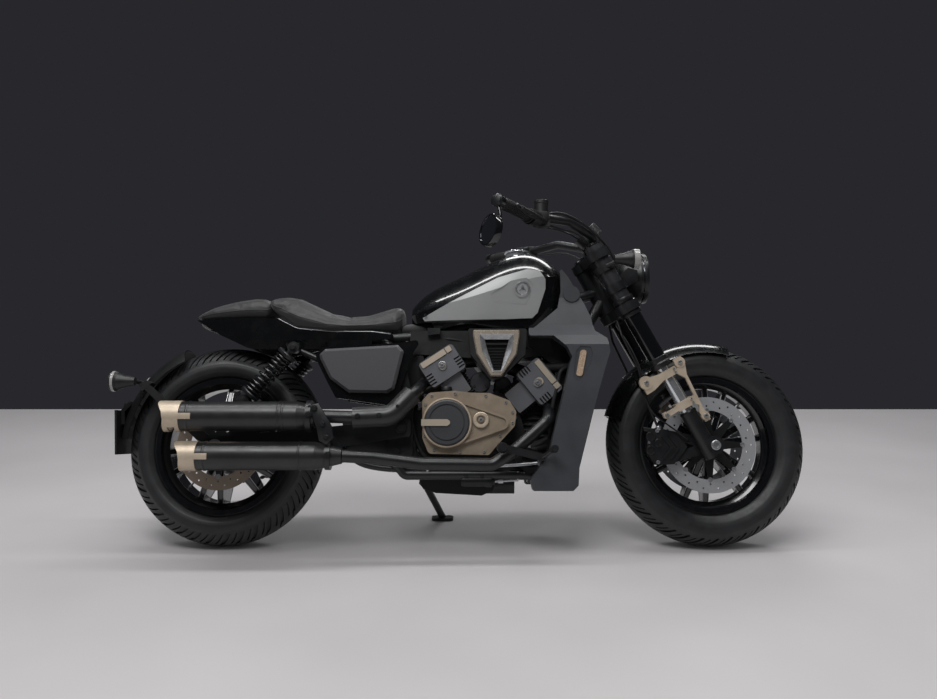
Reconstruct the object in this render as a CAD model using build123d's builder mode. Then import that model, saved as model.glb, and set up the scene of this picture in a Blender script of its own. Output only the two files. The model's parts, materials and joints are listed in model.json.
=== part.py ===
"""Cruiser motorcycle, parked on its side stand.

Every piece is drawn with the machine upright: x forward, y to the rider's left, z up from the
ground, x = 0 near the middle of the wheelbase. The steering head and the engine keep their places
when a wheel's size or the wheelbase changes. The finished pieces are leaned onto the side stand.
"""

from build123d import *
import os
from math import cos, radians, sin, sqrt, tan

os.makedirs("parts", exist_ok=True)

# ---------------------------------------------------------------- driving dimensions (mm, degrees)
wheelbase = 1540
lean = 11  # parked on the side stand, towards the left
fit = 0.3  # running and seating clearance of curved faces

# Tyres and rims
front_tyre_d = 632
front_tyre_w = 150
rear_tyre_d = 626
rear_tyre_w = 180
crown_r = 92  # tread radius across both tyres
tyre_wall = 11
flange_d = 424
bead_depth = 8  # beads below the flanges' edges
well_depth = 18  # and the rim's well below the beads
front_rim_w = 96
rear_rim_w = 134
rim_wall = 7
spoke_pairs = 6
spoke_spread = 21  # angle between the two spokes of a pair
spoke_w = 17  # at the rim
spoke_root_w = 25
hub_d = 92

# Brakes and final drive
front_disc_gap = 62  # discs' edges inside the rim's flange
rear_disc_gap = 77
disc_band = 42  # radial width of the drilled band
disc_t = 5
disc_arms = 8
disc_hole_d = 6
disc_holes = 18  # in each of two staggered rows
front_disc_y = 62
rear_disc_y = 108
sprocket_d = 216
sprocket_t = 8
sprocket_teeth = 40
link_pitch = 15.875
drive_x = -128
drive_z = 366
drive_sprocket_d = 82
chain_w = 13
chain_h = 12
front_axle_d = 24
rear_axle_d = 24
caliper_drop = 14  # caliper's middle below the axle
caliper_bite = 6  # and inside the disc's edge
caliper_out = 98
caliper_arm_y = 74
hose_d = 8

# Steering head and fork
head_x = 482.6  # steering axis at the middle of the lower yoke
head_z = 729.3
rake = 28.2
fork_offset = 40  # steering axis to the plane of the fork tubes
axle_lead = 18  # fork tubes to the axle
fork_spread = 232
yoke_gap = 194  # between the middles of the yokes
yoke_h = 30
head_d = 62
stem_d = 30
outer_tube_d = 58
inner_tube_d = 43
fork_above = 33  # outer tubes above the middle of the upper yoke
foot_tube_d = 52
leg_top_t = 120  # heights along the steering axis, from the foot of the axle's perpendicular
clamp_low_t = 140
clamp_high_t = 246
clamp_h = 24
clamp_gap = 16  # bare inner tube above the upper clamp
link_t = 12
link_x = 88  # front link, ahead of the steering axis
link_foot_t = 92
ear_x = -36

# Headlamp, indicators and front mudguard
lamp_d = 165
lamp_x = head_x + 113
lamp_z = head_z + 135
lens_t = 12
lamp_band_up = 60  # lamp bracket's bands above the lower yoke
blinker_x = head_x - 5
blinker_y = 184
blinker_z = head_z + 165
blinker_d = 62
guard_half = 80
guard_gap = 15  # crown of the mudguard above the tyre
guard_drop = 39  # its sides below its crown
guard_front = 75
guard_arc = 89

# Handlebar
mirror_x = head_x - 414
mirror_z = head_z + 202
mirror_d = 96
bar_d = 28
bar_end_y = 402
grip_inner_y = 282
grip_d = 35
bar_end_x = head_x - 380
bar_end_z = head_z + 289
riser_y = 52
riser_x = 64  # ahead of the steering axis
riser_h = 63  # seat of the bar above the middle of the upper yoke

# Engine
crank_x = 50
crank_z = 367
rear_bank = -33
front_bank = 51
case_half = 90
barrel_half = case_half - 6
head_half = barrel_half + 10
head_start = 181
head_end = 284
head_w = 105
head_cover_w = 132
head_cover_l = 96
notch_w = 5
band_w = 22  # bright bands on the heads' covers
cover_reach = 34  # side covers of the heads, beyond the head
fin_pitch = 9
fin_t = 3.4
cover_x = -60  # clutch, under a round cap
cover_z = 384
cover_t = 60
clutch_d = 154
cap_d = 138
cap_t = 26
drop_t = 12  # drop-shaped rim on the clutch cover
cap_seat = 6  # floor inside it
boss_x = 45
boss_z = 392
airbox_half = 165
airbox_d = 46  # inlet stubs
intake_t = 14  # bright frame on each side of the airbox

# Frame
frame_tube_d = 32
rail_d = 26
down_y = 110
cradle_z = 226
pivot_x = -201
pivot_z = 369
pivot_d = 24
plate_in_y = 118
plate_t = 12

# Swingarm and shocks
arm_y = 150
arm_t = 32
shock_y = 150
shock_top_x = -542
shock_top_z = 616
shock_ahead = 79  # lower eye from the rear axle
shock_above = 139
shock_eye_w = 30
shock_bolt_d = 14
spring_d = 58
wire_d = 8
spring_turns = 9
hugger_half = 98
hugger_gap = 32  # crown of the rear mudguard above the tyre
hugger_drop = 49
hugger_front = 116
hugger_arc = 60

# Exhaust
muffler_y = -218
upper_muffler_z = 402
upper_muffler_d = 88
lower_muffler_z = 285
lower_muffler_d = 84
pipe_d = 38
shield_d = 64
tongue = 36  # of the tips, over the mufflers

# Tank, seat and bodywork
tank_half = 145
tank_low_z = 683
tunnel_half = 66
panel_t = 8
panel_skin = 1.5  # left under the drop-shaped recess
emblem_d = 52
emblem_t = 4
seat_half = 138
pad_half = 100
cowl_half = 112
cowl_wall = 5
side_rim_t = 16
side_cover_t = 22
side_bevel_t = 10
shroud_y = 150
shroud_t = 52
shroud_in = 100  # inner face of the shroud's upper panel
recess = 2.5

# Side stand
stand_x = -143
stand_y = 134
stand_z = 190
foot_x = -85
foot_y = 283
stand_d = 24
stand_pad = (76, 40, 10)
stand_head_d = 34
stand_head_t = 12
stand_pin_d = 12
stand_lug_t = 8
stand_gap = 0.5  # between the stand's head and its lug

# ---------------------------------------------------------------- places worked out from them
front_axle_z = front_tyre_d / 2
rear_axle_z = rear_tyre_d / 2
rise = crown_r * (1 - cos(radians(lean)))  # a leaned tyre stands on the side of its crown

steer_foot_z = front_axle_z - (fork_offset + axle_lead) * sin(radians(rake))
steer_foot_x = head_x + (head_z - steer_foot_z) * tan(radians(rake))
front_axle_x = steer_foot_x + (fork_offset + axle_lead) * cos(radians(rake))
rear_axle_x = front_axle_x - wheelbase
lower_yoke_t = (head_z - steer_foot_z) / cos(radians(rake))
upper_yoke_t = lower_yoke_t + yoke_gap
fork_top_t = upper_yoke_t + fork_above
outer_tube_bottom_t = clamp_high_t + clamp_h + clamp_gap
riser_top_t = upper_yoke_t + riser_h
steer = Plane(
    origin=(steer_foot_x, 0, steer_foot_z),
    x_dir=(cos(radians(rake)), 0, sin(radians(rake))),
    z_dir=(-sin(radians(rake)), 0, cos(radians(rake))),
)
tube_y = fork_spread / 2

front_disc_d = flange_d - 2 * front_disc_gap
rear_disc_d = flange_d - 2 * rear_disc_gap
caliper_x = front_axle_x - front_disc_d / 2 + caliper_bite
caliper_z = front_axle_z - caliper_drop
guard_r = front_tyre_d / 2 + guard_gap
guard_side_r = guard_r - guard_drop
hugger_r = rear_tyre_d / 2 + hugger_gap
hugger_side_r = hugger_r - hugger_drop
shock_bottom_x = rear_axle_x + shock_ahead
shock_bottom_z = rear_axle_z + shock_above

leaned = Location((0, 0, rise)) * Location((0, 0, 0), (-lean, 0, 0))
ground = Plane(leaned.inverse())

# The side stand swings in one plane, from its foot on the ground to lying back along the frame.
stand_pivot = Vector(stand_x, stand_y, stand_z)
above_ground = ground.to_local_coords(Vector(foot_x, foot_y, 0)).Z
heel = Vector(foot_x, foot_y, (stand_pad[2] - above_ground) / cos(radians(lean)))
stand_leg = (heel - stand_pivot).normalized()
stand_folded = Vector(-0.985, 0.17, 0.03).normalized()
stand_axis = stand_leg.cross(stand_folded).normalized()
cradle_point = Vector(stand_x, down_y, cradle_z) - stand_pivot
lug_reach = cradle_point - stand_axis * cradle_point.dot(stand_axis)
stand_hinge = Plane(origin=stand_pivot, x_dir=lug_reach, z_dir=stand_axis)

front_hub = Plane(origin=(front_axle_x, 0, front_axle_z), x_dir=(1, 0, 0), z_dir=(0, -1, 0))
rear_hub = Plane(origin=(rear_axle_x, 0, rear_axle_z), x_dir=(1, 0, 0), z_dir=(0, -1, 0))


# ---------------------------------------------------------------- shared constructions
def side(y):
    """The upright plane at a distance y to the left, seen from the right."""
    return Plane.XZ.offset(-y)


def outline(plane, points, corner=0):
    """A straight-sided face with rounded corners."""
    with BuildSketch(plane) as sketch:
        with BuildLine():
            Polyline(*points, close=True)
        make_face()
        if corner:
            fillet(sketch.vertices(), corner)
    return sketch.sketch


def slab(points, y_from, y_to, corner=0, mode=Mode.ADD):
    """A plate with the side view's outline, between two distances to the left."""
    extrude(outline(side(y_from), points, corner), amount=y_from - y_to, mode=mode)


def tube(diameter, bend, *points, mode=Mode.ADD):
    """A round bar along straight runs joined by tangent bends."""
    with BuildLine() as route:
        if len(points) > 2:
            FilletPolyline(*points, radius=bend)
        else:
            Line(*points)
    with BuildSketch(Plane(route.line @ 0, z_dir=route.line % 0)) as section:
        Circle(diameter / 2)
    sweep(section.sketch, path=route.line, mode=mode)


def disc(plane, diameter, thickness, hole=0, mode=Mode.ADD):
    """A round plate on a plane, along its normal."""
    with BuildSketch(plane) as sketch:
        Circle(diameter / 2)
        if hole:
            Circle(hole / 2, mode=Mode.SUBTRACT)
    extrude(sketch.sketch, amount=thickness, mode=mode)


def bank_plane(angle):
    """The plane of one cylinder: origin on the crankshaft, z along the bore."""
    a = radians(angle)
    return Plane(origin=(crank_x, 0, crank_z), x_dir=(cos(a), 0, -sin(a)), z_dir=(sin(a), 0, cos(a)))


pieces = []


def finish(builder, label):
    """Keep a finished piece under its name."""
    builder.part.label = label
    pieces.append(builder.part)


# ---------------------------------------------------------------- wheels
def radial(hub, angle):
    """The plane through an axle at an angle above forward: x across the wheel, y outward."""
    a = radians(angle)
    return Plane(origin=hub.origin, x_dir=(0, 1, 0), z_dir=(sin(a), 0, -cos(a)))


def turned(section, hub, arc=360):
    """Turn a radial section about a wheel's axle, upward from where it was drawn."""
    revolve(section, axis=Axis(hub.origin, (0, -1, 0)), revolution_arc=arc)


def tyre_section(hub, diameter, width, rim_w):
    """Section of a tyre: crowned tread, bulged walls, open between the beads."""
    radius = diameter / 2
    bead_r = flange_d / 2 - bead_depth
    lip_r = flange_d / 2 + 4
    half = width / 2
    tread = 0.86 * half
    bead = rim_w / 2 - fit
    shoulder_r = radius - crown_r + sqrt(crown_r**2 - tread**2)
    bulge_r = (shoulder_r + bead_r) / 2 + 8
    with BuildSketch(radial(hub, 90)) as section:
        with BuildLine():
            RadiusArc((-tread, shoulder_r), (tread, shoulder_r), crown_r)
            ThreePointArc((tread, shoulder_r), (half, bulge_r), (bead, lip_r))
            Polyline((bead, lip_r), (bead, bead_r), (-bead, bead_r), (-bead, lip_r))
            ThreePointArc((-bead, lip_r), (-half, bulge_r), (-tread, shoulder_r))
        make_face()
        offset(amount=-tyre_wall, mode=Mode.SUBTRACT)
        with Locations((0, bead_r)):
            Rectangle(2 * (bead - tyre_wall), 3 * tyre_wall, mode=Mode.SUBTRACT)
    return section.sketch


with BuildPart() as front_tyre:
    turned(tyre_section(front_hub, front_tyre_d, front_tyre_w, front_rim_w), front_hub)
finish(front_tyre, "front_tyre")

with BuildPart() as rear_tyre:
    turned(tyre_section(rear_hub, rear_tyre_d, rear_tyre_w, rear_rim_w), rear_hub)
finish(rear_tyre, "rear_tyre")


def rim_section(hub, rim_w):
    """Section of the rim's barrel: two flanges, two bead seats and the well between them."""
    seat_r = flange_d / 2 - bead_depth - fit
    well_r = seat_r - well_depth
    half = rim_w / 2
    outer = [
        (-half - rim_wall, flange_d / 2),
        (-half, flange_d / 2),
        (-half, seat_r),
        (-half + 22, seat_r),
        (-half + 32, well_r),
        (half - 32, well_r),
        (half - 22, seat_r),
        (half, seat_r),
        (half, flange_d / 2),
        (half + rim_wall, flange_d / 2),
        (half + rim_wall, seat_r - rim_wall),
        (half - 16, seat_r - rim_wall),
        (half - 27, well_r - rim_wall),
        (-half + 27, well_r - rim_wall),
        (-half + 16, seat_r - rim_wall),
        (-half - rim_wall, seat_r - rim_wall),
    ]
    return outline(radial(hub, 90), outer)


def cast_wheel(hub, rim_w, hub_half, axle_d, first_pair):
    """Rim barrel, hub and pairs of spokes that dish and taper from the hub to the rim."""
    turned(rim_section(hub, rim_w), hub)
    reach = flange_d / 2 - bead_depth - fit - well_depth - rim_wall + 2
    disc(hub.offset(-hub_half), hub_d, 2 * hub_half)
    for pair in range(spoke_pairs):
        for lean_to in (-1, 1):
            angle = first_pair + pair * 360 / spoke_pairs + lean_to * spoke_spread / 2
            out = hub.location * Location((0, 0, 0), (0, 0, angle)) * Location((0, 0, 0), (0, 90, 0))
            with BuildSketch(Plane(out * Location((0, 0, hub_d / 2 - 8)))) as root:
                RectangleRounded(2 * hub_half - 20, spoke_root_w, 5)
            with BuildSketch(Plane(out * Location((0, 0, reach)))) as tip:
                RectangleRounded(rim_w - 56, spoke_w, 5)
            loft([root.sketch, tip.sketch])
    disc(hub.offset(-hub_half - 1), axle_d + 2 * fit, 2 * hub_half + 2, mode=Mode.SUBTRACT)


front_hub_half = front_disc_y - disc_t
rear_hub_half = rear_disc_y - disc_t

with BuildPart() as front_rim:
    cast_wheel(front_hub, front_rim_w, front_hub_half, front_axle_d, 77)
finish(front_rim, "front_rim")

with BuildPart() as rear_rim:
    cast_wheel(rear_hub, rear_rim_w, rear_hub_half, rear_axle_d, 77)
finish(rear_rim, "rear_rim")


def brake_disc(plane, diameter, axle_d):
    """Drilled band on a carrier with tapered arms and round bobbins, along the plane's normal."""
    band_in = diameter / 2 - disc_band
    root = hub_d / 2 - 4
    with BuildSketch(plane) as face:
        Circle(diameter / 2)
        Circle(band_in, mode=Mode.SUBTRACT)
        Circle(hub_d / 2)
        with PolarLocations(0, disc_arms):
            Polygon((root, -15), (band_in, -7), (band_in, 7), (root, 15), align=None)
        with PolarLocations(band_in, disc_arms):
            Circle(9)
        for row in (1, 2):
            with PolarLocations(band_in + row * disc_band / 3, disc_holes, start_angle=row * 180 / disc_holes):
                Circle(disc_hole_d / 2, mode=Mode.SUBTRACT)
        Circle(axle_d / 2 + fit, mode=Mode.SUBTRACT)
    extrude(face.sketch, amount=disc_t)


with BuildPart() as front_discs:
    brake_disc(front_hub.offset(front_hub_half), front_disc_d, front_axle_d)
    brake_disc(front_hub.offset(-front_hub_half - disc_t), front_disc_d, front_axle_d)
finish(front_discs, "front_discs")

with BuildPart() as rear_disc:
    brake_disc(rear_hub.offset(rear_hub_half), rear_disc_d, rear_axle_d)
finish(rear_disc, "rear_disc")

with BuildPart() as rear_sprocket:
    plane = rear_hub.offset(-rear_hub_half - sprocket_t)
    with BuildSketch(plane) as teeth:
        Circle(sprocket_d / 2)
        with PolarLocations(sprocket_d / 2 - 2, sprocket_teeth):
            Polygon((0, -6), (6.5, -2), (6.5, 2), (0, 6), align=None)
        with PolarLocations(sprocket_d / 2 - 30, 10):
            Circle(13, mode=Mode.SUBTRACT)
        Circle(rear_axle_d / 2 + fit, mode=Mode.SUBTRACT)
    extrude(teeth.sketch, amount=sprocket_t)
finish(rear_sprocket, "rear_sprocket")

# ---------------------------------------------------------------- fork, yokes and front axle
with BuildPart() as yokes:
    for height, thick in ((lower_yoke_t, yoke_h), (upper_yoke_t, yoke_h)):
        with BuildSketch(steer.offset(height - thick / 2)) as plate:
            with BuildLine():
                Polyline(
                    (fork_offset + 34, -tube_y - 20),
                    (fork_offset + 34, tube_y + 20),
                    (fork_offset - 34, tube_y + 20),
                    (-10, head_d / 2),
                    (-10, -head_d / 2),
                    (fork_offset - 34, -tube_y - 20),
                    close=True,
                )
            make_face()
            fillet(plate.vertices(), 14)
            Circle(head_d / 2 + 3)
            with Locations((fork_offset, -tube_y), (fork_offset, tube_y)):
                Circle(outer_tube_d / 2 + 11)
            with Locations((fork_offset, -tube_y), (fork_offset, tube_y)):
                Circle(outer_tube_d / 2 + fit, mode=Mode.SUBTRACT)
        extrude(plate.sketch, amount=thick)
    disc(steer.offset(lower_yoke_t), stem_d, upper_yoke_t - lower_yoke_t)
finish(yokes, "yokes")


with BuildPart() as fork_outer_tubes:
    for y in (-tube_y, tube_y):
        foot = Plane(steer.location * Location((fork_offset, y, outer_tube_bottom_t)))
        disc(foot, outer_tube_d, fork_top_t - outer_tube_bottom_t)
        disc(foot, inner_tube_d + 2 * fit, 250, mode=Mode.SUBTRACT)
finish(fork_outer_tubes, "fork_outer_tubes")

with BuildPart() as fork_inner_tubes:
    for y in (-tube_y, tube_y):
        foot = Plane(steer.location * Location((fork_offset, y, leg_top_t)))
        disc(foot, inner_tube_d, outer_tube_bottom_t + 240 - leg_top_t)
finish(fork_inner_tubes, "fork_inner_tubes")


def steer_side(y):
    """A plane along the steering axis: x ahead of the axis, y up along it, at a distance left."""
    return Plane(origin=(steer_foot_x, y, steer_foot_z), x_dir=steer.x_dir, z_dir=(0, -1, 0))


with BuildPart() as fork_feet:
    for y in (-tube_y, tube_y):
        foot = Plane(steer.location * Location((fork_offset, y, -30)))
        disc(foot, foot_tube_d, leg_top_t + 30)
        disc(foot.offset(40), inner_tube_d + 2 * fit, leg_top_t, mode=Mode.SUBTRACT)
        with BuildSketch(front_hub.offset(-y - foot_tube_d / 2)) as lug:
            Circle(foot_tube_d / 2 + 1)
        extrude(lug.sketch, amount=foot_tube_d)
    disc(front_hub.offset(-tube_y), front_axle_d, 2 * tube_y)
finish(fork_feet, "fork_feet")

# Clamps on the bright tubes: two rings a side, a front link and a rear ear for the mudguard.
with BuildPart() as fork_clamps:
    for hand in (-1, 1):
        y = hand * tube_y
        for height in (clamp_low_t, clamp_high_t):
            ring = Plane(steer.location * Location((fork_offset, y, height)))
            disc(ring, inner_tube_d + 22, clamp_h, inner_tube_d + 2 * fit)
        outer = y + hand * (inner_tube_d / 2 + 11)
        sheet = steer_side(max(outer, outer - hand * link_t))
        top = clamp_high_t + clamp_h
        front = [
            (fork_offset + 24, clamp_high_t),
            (link_x - 14, top - 6),
            (link_x - 14, top + 18),
            (link_x + 14, top + 18),
            (link_x + 14, top - 10),
            (link_x + 2, top - 40),
            (link_x - 6, clamp_low_t - 20),
            (link_x - 4, link_foot_t - 16),
            (link_x - 22, link_foot_t - 16),
            (link_x - 24, link_foot_t + 18),
            (link_x - 13, clamp_low_t - 10),
            (fork_offset + 24, clamp_low_t),
            (fork_offset + 24, clamp_low_t + clamp_h),
            (link_x - 12, clamp_low_t + clamp_h),
            (link_x - 8, clamp_high_t - 24),
        ]
        extrude(outline(sheet, front, 2), amount=link_t)
        rear = [
            (fork_offset - 24, top),
            (ear_x - 14, top + 12),
            (ear_x - 16, clamp_high_t - 14),
            (ear_x + 12, clamp_high_t - 12),
            (fork_offset - 24, clamp_high_t),
        ]
        extrude(outline(sheet, rear, 4), amount=link_t)
        spine = [
            (fork_offset - 30, clamp_low_t),
            (fork_offset + 30, clamp_low_t),
            (fork_offset + 30, clamp_low_t + clamp_h),
            (fork_offset - 30, clamp_low_t + clamp_h),
        ]
        extrude(outline(sheet, spine, 3), amount=link_t)
        spine_high = [(x, t + clamp_high_t - clamp_low_t) for x, t in spine]
        extrude(outline(sheet, spine_high, 3), amount=link_t)
        rung = [
            (ear_x + 6, clamp_low_t + 2),
            (ear_x + 6, clamp_low_t + 18),
            (fork_offset - 24, clamp_low_t + 20),
            (fork_offset - 24, clamp_low_t + 4),
        ]
        extrude(outline(sheet, rung), amount=link_t)
        eyes = [  # ahead of the axis, along it, diameter
            (link_x + 1, top + 2, 34),
            (link_x - 13, link_foot_t, 26),
            (ear_x, top - 4, 42),
            (ear_x + 6, clamp_low_t + 10, 22),
        ]
        for ahead, along, eye_d in eyes:
            eye = Plane(origin=sheet.from_local_coords((ahead, along, 0)), x_dir=sheet.x_dir, z_dir=sheet.z_dir)
            disc(eye.offset(-2), eye_d, link_t + 4)
            disc(eye.offset(-3), 10, link_t + 6, mode=Mode.SUBTRACT)
        core = Plane(steer.location * Location((fork_offset, y, clamp_low_t - 1)))
        disc(core, inner_tube_d + 2 * fit, top + 2 - clamp_low_t, mode=Mode.SUBTRACT)
finish(fork_clamps, "fork_clamps")

# ---------------------------------------------------------------- handlebar and what it carries
riser_top = steer.from_local_coords(Vector(riser_x, 0, riser_top_t))
bar_bend = (bar_end_x + 227, 165, bar_end_z + 2)


def handed(point, hand):
    """A place given for the left side, taken to the side asked for."""
    return (point[0], point[1] * hand, point[2])


with BuildPart() as handlebar:
    grip_in = (bar_end_x + 92, grip_inner_y, bar_end_z - 10)
    run = [(bar_end_x, bar_end_y, bar_end_z), grip_in, bar_bend, (riser_top.X, 90, riser_top.Z)]
    route = [handed(p, -1) for p in run] + [handed(p, 1) for p in reversed(run)]
    tube(bar_d, [60, 70, 60, 60, 70, 60], *route)
finish(handlebar, "handlebar")

with BuildPart() as bar_risers:
    for y in (-riser_y, riser_y):
        top = Plane(steer.location * Location((riser_x, y, riser_top_t)))
        with BuildSketch(steer_side(y + 14)) as stem:
            with BuildLine():
                Polyline(
                    (riser_x - 26, upper_yoke_t + yoke_h / 2),
                    (riser_x + 8, upper_yoke_t + yoke_h / 2),
                    (riser_x + 20, riser_top_t),
                    (riser_x + 12, riser_top_t + 20),
                    (riser_x - 12, riser_top_t + 20),
                    (riser_x - 20, riser_top_t),
                    close=True,
                )
            make_face()
        extrude(stem.sketch, amount=28)
    add(handlebar.part, mode=Mode.SUBTRACT)
finish(bar_risers, "bar_risers")

grip_axis = Vector(*grip_in) - Vector(bar_end_x, bar_end_y, bar_end_z)
grip_len = grip_axis.length - 8
with BuildPart() as grips:
    for hand in (-1, 1):
        end = Plane(
            origin=handed((bar_end_x, bar_end_y, bar_end_z), hand),
            z_dir=handed((grip_axis.X, grip_axis.Y, grip_axis.Z), hand),
        )
        disc(end, grip_d, grip_len)
        disc(end.offset(grip_len - 6), grip_d + 12, 6)
    add(handlebar.part, mode=Mode.SUBTRACT)
finish(grips, "grips")

with BuildPart() as bar_end_mirrors:
    for hand in (-1, 1):
        end = Plane(
            origin=handed((bar_end_x, bar_end_y, bar_end_z), hand),
            z_dir=handed((-grip_axis.X, -grip_axis.Y, -grip_axis.Z), hand),
        )
        disc(end, grip_d + 2, 16)
        hang = handed((bar_end_x - 10, bar_end_y + 12, bar_end_z), hand)
        bow = handed((bar_end_x - 2, bar_end_y + 22, bar_end_z - 52), hand)
        low = handed((mirror_x + 8, bar_end_y + 14, mirror_z), hand)
        tube(9, 26, hang, bow, low)
        face = Plane(
            origin=handed((mirror_x, bar_end_y + 12, mirror_z), hand),
            z_dir=handed((-0.85, 0.5, 0.15), hand),
        )
        disc(face.offset(-14), mirror_d, 18)
finish(bar_end_mirrors, "bar_end_mirrors")

with BuildPart() as hand_controls:
    for hand in (-1, 1):
        inner = Plane(
            origin=handed(grip_in, hand), z_dir=handed((grip_axis.X, grip_axis.Y, grip_axis.Z), hand)
        )
        disc(inner, bar_d + 24, 38)
        disc(inner.offset(40), bar_d + 18, 22)
        pivot = inner.origin + inner.z_dir * 40 + Vector(34, 0, -6)
        reach = handed((bar_end_x + 62, bar_end_y - 8, bar_end_z - 14), hand)
        tube(10, 0, (pivot.X, pivot.Y, pivot.Z), reach)
        perch = handed((grip_in[0] + 30, grip_inner_y - 38, grip_in[2] - 4), hand)
        arm = Plane(origin=perch, z_dir=(1, 0, 0))
        with BuildSketch(arm) as block:
            Rectangle(44, 26)
        extrude(block.sketch, amount=34)
    can = Plane(origin=(grip_in[0] + 40, -grip_inner_y + 40, grip_in[2] + 12))
    disc(can, 40, 44)
    add(handlebar.part, mode=Mode.SUBTRACT)
finish(hand_controls, "hand_controls")

with BuildPart() as gauge:
    dial = Plane(steer.location * Location((riser_x + 16, 0, riser_top_t + 4), (0, -18, 0)))
    disc(dial, 92, 34)
    shelf = [(16, -56), (34, -54), (54, 6), (32, 18)]
    slab([(riser_top.X + x, riser_top.Z + z) for x, z in shelf], -16, 16)
    add(bar_risers.part, mode=Mode.SUBTRACT)
    add(yokes.part, mode=Mode.SUBTRACT)
    add(handlebar.part, mode=Mode.SUBTRACT)
finish(gauge, "gauge")

# ---------------------------------------------------------------- headlamp and indicators
def lathe(place, points, way=1):
    """A solid turned about an axis along x: points are distances forward and radii."""
    section = Plane(origin=place, x_dir=(way, 0, 0), z_dir=(0, -way, 0))
    closed = [(points[0][0], 0)] + points + [(points[-1][0], 0)]
    revolve(outline(section, closed), axis=Axis(place, (way, 0, 0)))


lamp_cone = [(-8, 13), (20, 19), (44, 27), (50, blinker_d / 2), (64, blinker_d / 2), (66, blinker_d / 2 - 4)]
lamp = Plane(origin=(lamp_x, 0, lamp_z), x_dir=(0, 1, 0), z_dir=(1, 0, 0))
with BuildPart() as headlamp:
    back = Plane(origin=(lamp_x - lens_t - 8, 0, lamp_z), x_dir=(1, 0, 0), z_dir=(0, -1, 0))
    with BuildSketch(back) as bowl:
        with BuildLine():
            Polyline((8, 0), (8, lamp_d / 2), (0, lamp_d / 2), (-30, lamp_d / 2 - 8))
            bowl_r = sqrt(22**2 + (lamp_d / 2 - 8) ** 2)
            ThreePointArc((-30, lamp_d / 2 - 8), (-8 - 0.8 * bowl_r, 0.6 * bowl_r), (-8 - bowl_r, 0))
            Line((-8 - bowl_r, 0), (8, 0))
        make_face()
    revolve(bowl.sketch, axis=Axis((lamp_x, 0, lamp_z), (1, 0, 0)))
    for hand in (-1, 1):
        band = Plane(steer.location * Location((fork_offset, hand * tube_y, lower_yoke_t + lamp_band_up)))
        disc(band, outer_tube_d + 14, 26)
        ear = [(-118, -64), (-118, -28), (-66, 20), (-36, 12), (-36, -24)]
        slab([(lamp_x + x, lamp_z + z) for x, z in ear], hand * 72, hand * 92, 4)
        disc(band.offset(-60), outer_tube_d + 2 * fit, 160, mode=Mode.SUBTRACT)
finish(headlamp, "headlamp")

with BuildPart() as headlamp_lens:
    disc(lamp.offset(-lens_t), lamp_d - 8, lens_t)
    fillet(headlamp_lens.faces().sort_by(Axis.X)[-1].edges(), 3)
finish(headlamp_lens, "headlamp_lens")

with BuildPart() as front_indicators:
    for hand in (-1, 1):
        lathe((blinker_x, hand * blinker_y, blinker_z), lamp_cone)
        stalk_y = hand * (tube_y + outer_tube_d / 2 + 7)
        root = (blinker_x - 28, stalk_y, blinker_z - 16)
        tube(14, 0, root, (blinker_x + 14, hand * (blinker_y - 8), blinker_z))
        band = Plane(steer.location * Location((fork_offset, hand * tube_y, upper_yoke_t - 60)))
        disc(band, outer_tube_d + 18, 22, outer_tube_d + 2 * fit)
finish(front_indicators, "front_indicators")

# ---------------------------------------------------------------- front mudguard, calipers, hoses
def mudguard(hub, radius, side_r, half, wall, front, arc):
    """A curved shell over a wheel, from an angle above forward and back round the wheel."""
    with BuildSketch(radial(hub, front)) as section:
        with BuildLine():
            ThreePointArc((-half, side_r), (0, radius), (half, side_r))
            Line((half, side_r), (half - wall, side_r))
            ThreePointArc((half - wall, side_r), (0, radius - wall), (-half + wall, side_r))
            Line((-half + wall, side_r), (-half, side_r))
        make_face()
    turned(section.sketch, hub, arc)


with BuildPart() as front_fender:
    mudguard(front_hub, guard_r, guard_side_r, guard_half, 4, guard_front, guard_arc)
    for hand in (-1, 1):
        y_in, y_out = hand * (guard_half - 4), hand * (tube_y - inner_tube_d / 2 - 11)
        stay = [
            (ear_x - 12, guard_side_r + 20),
            (ear_x + 12, guard_side_r + 20),
            (ear_x + 12, clamp_high_t - 8),
            (ear_x - 12, clamp_high_t - 8),
        ]
        extrude(outline(steer_side(max(y_in, y_out)), stay, 3), amount=abs(y_out - y_in))
finish(front_fender, "front_fender")

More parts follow.
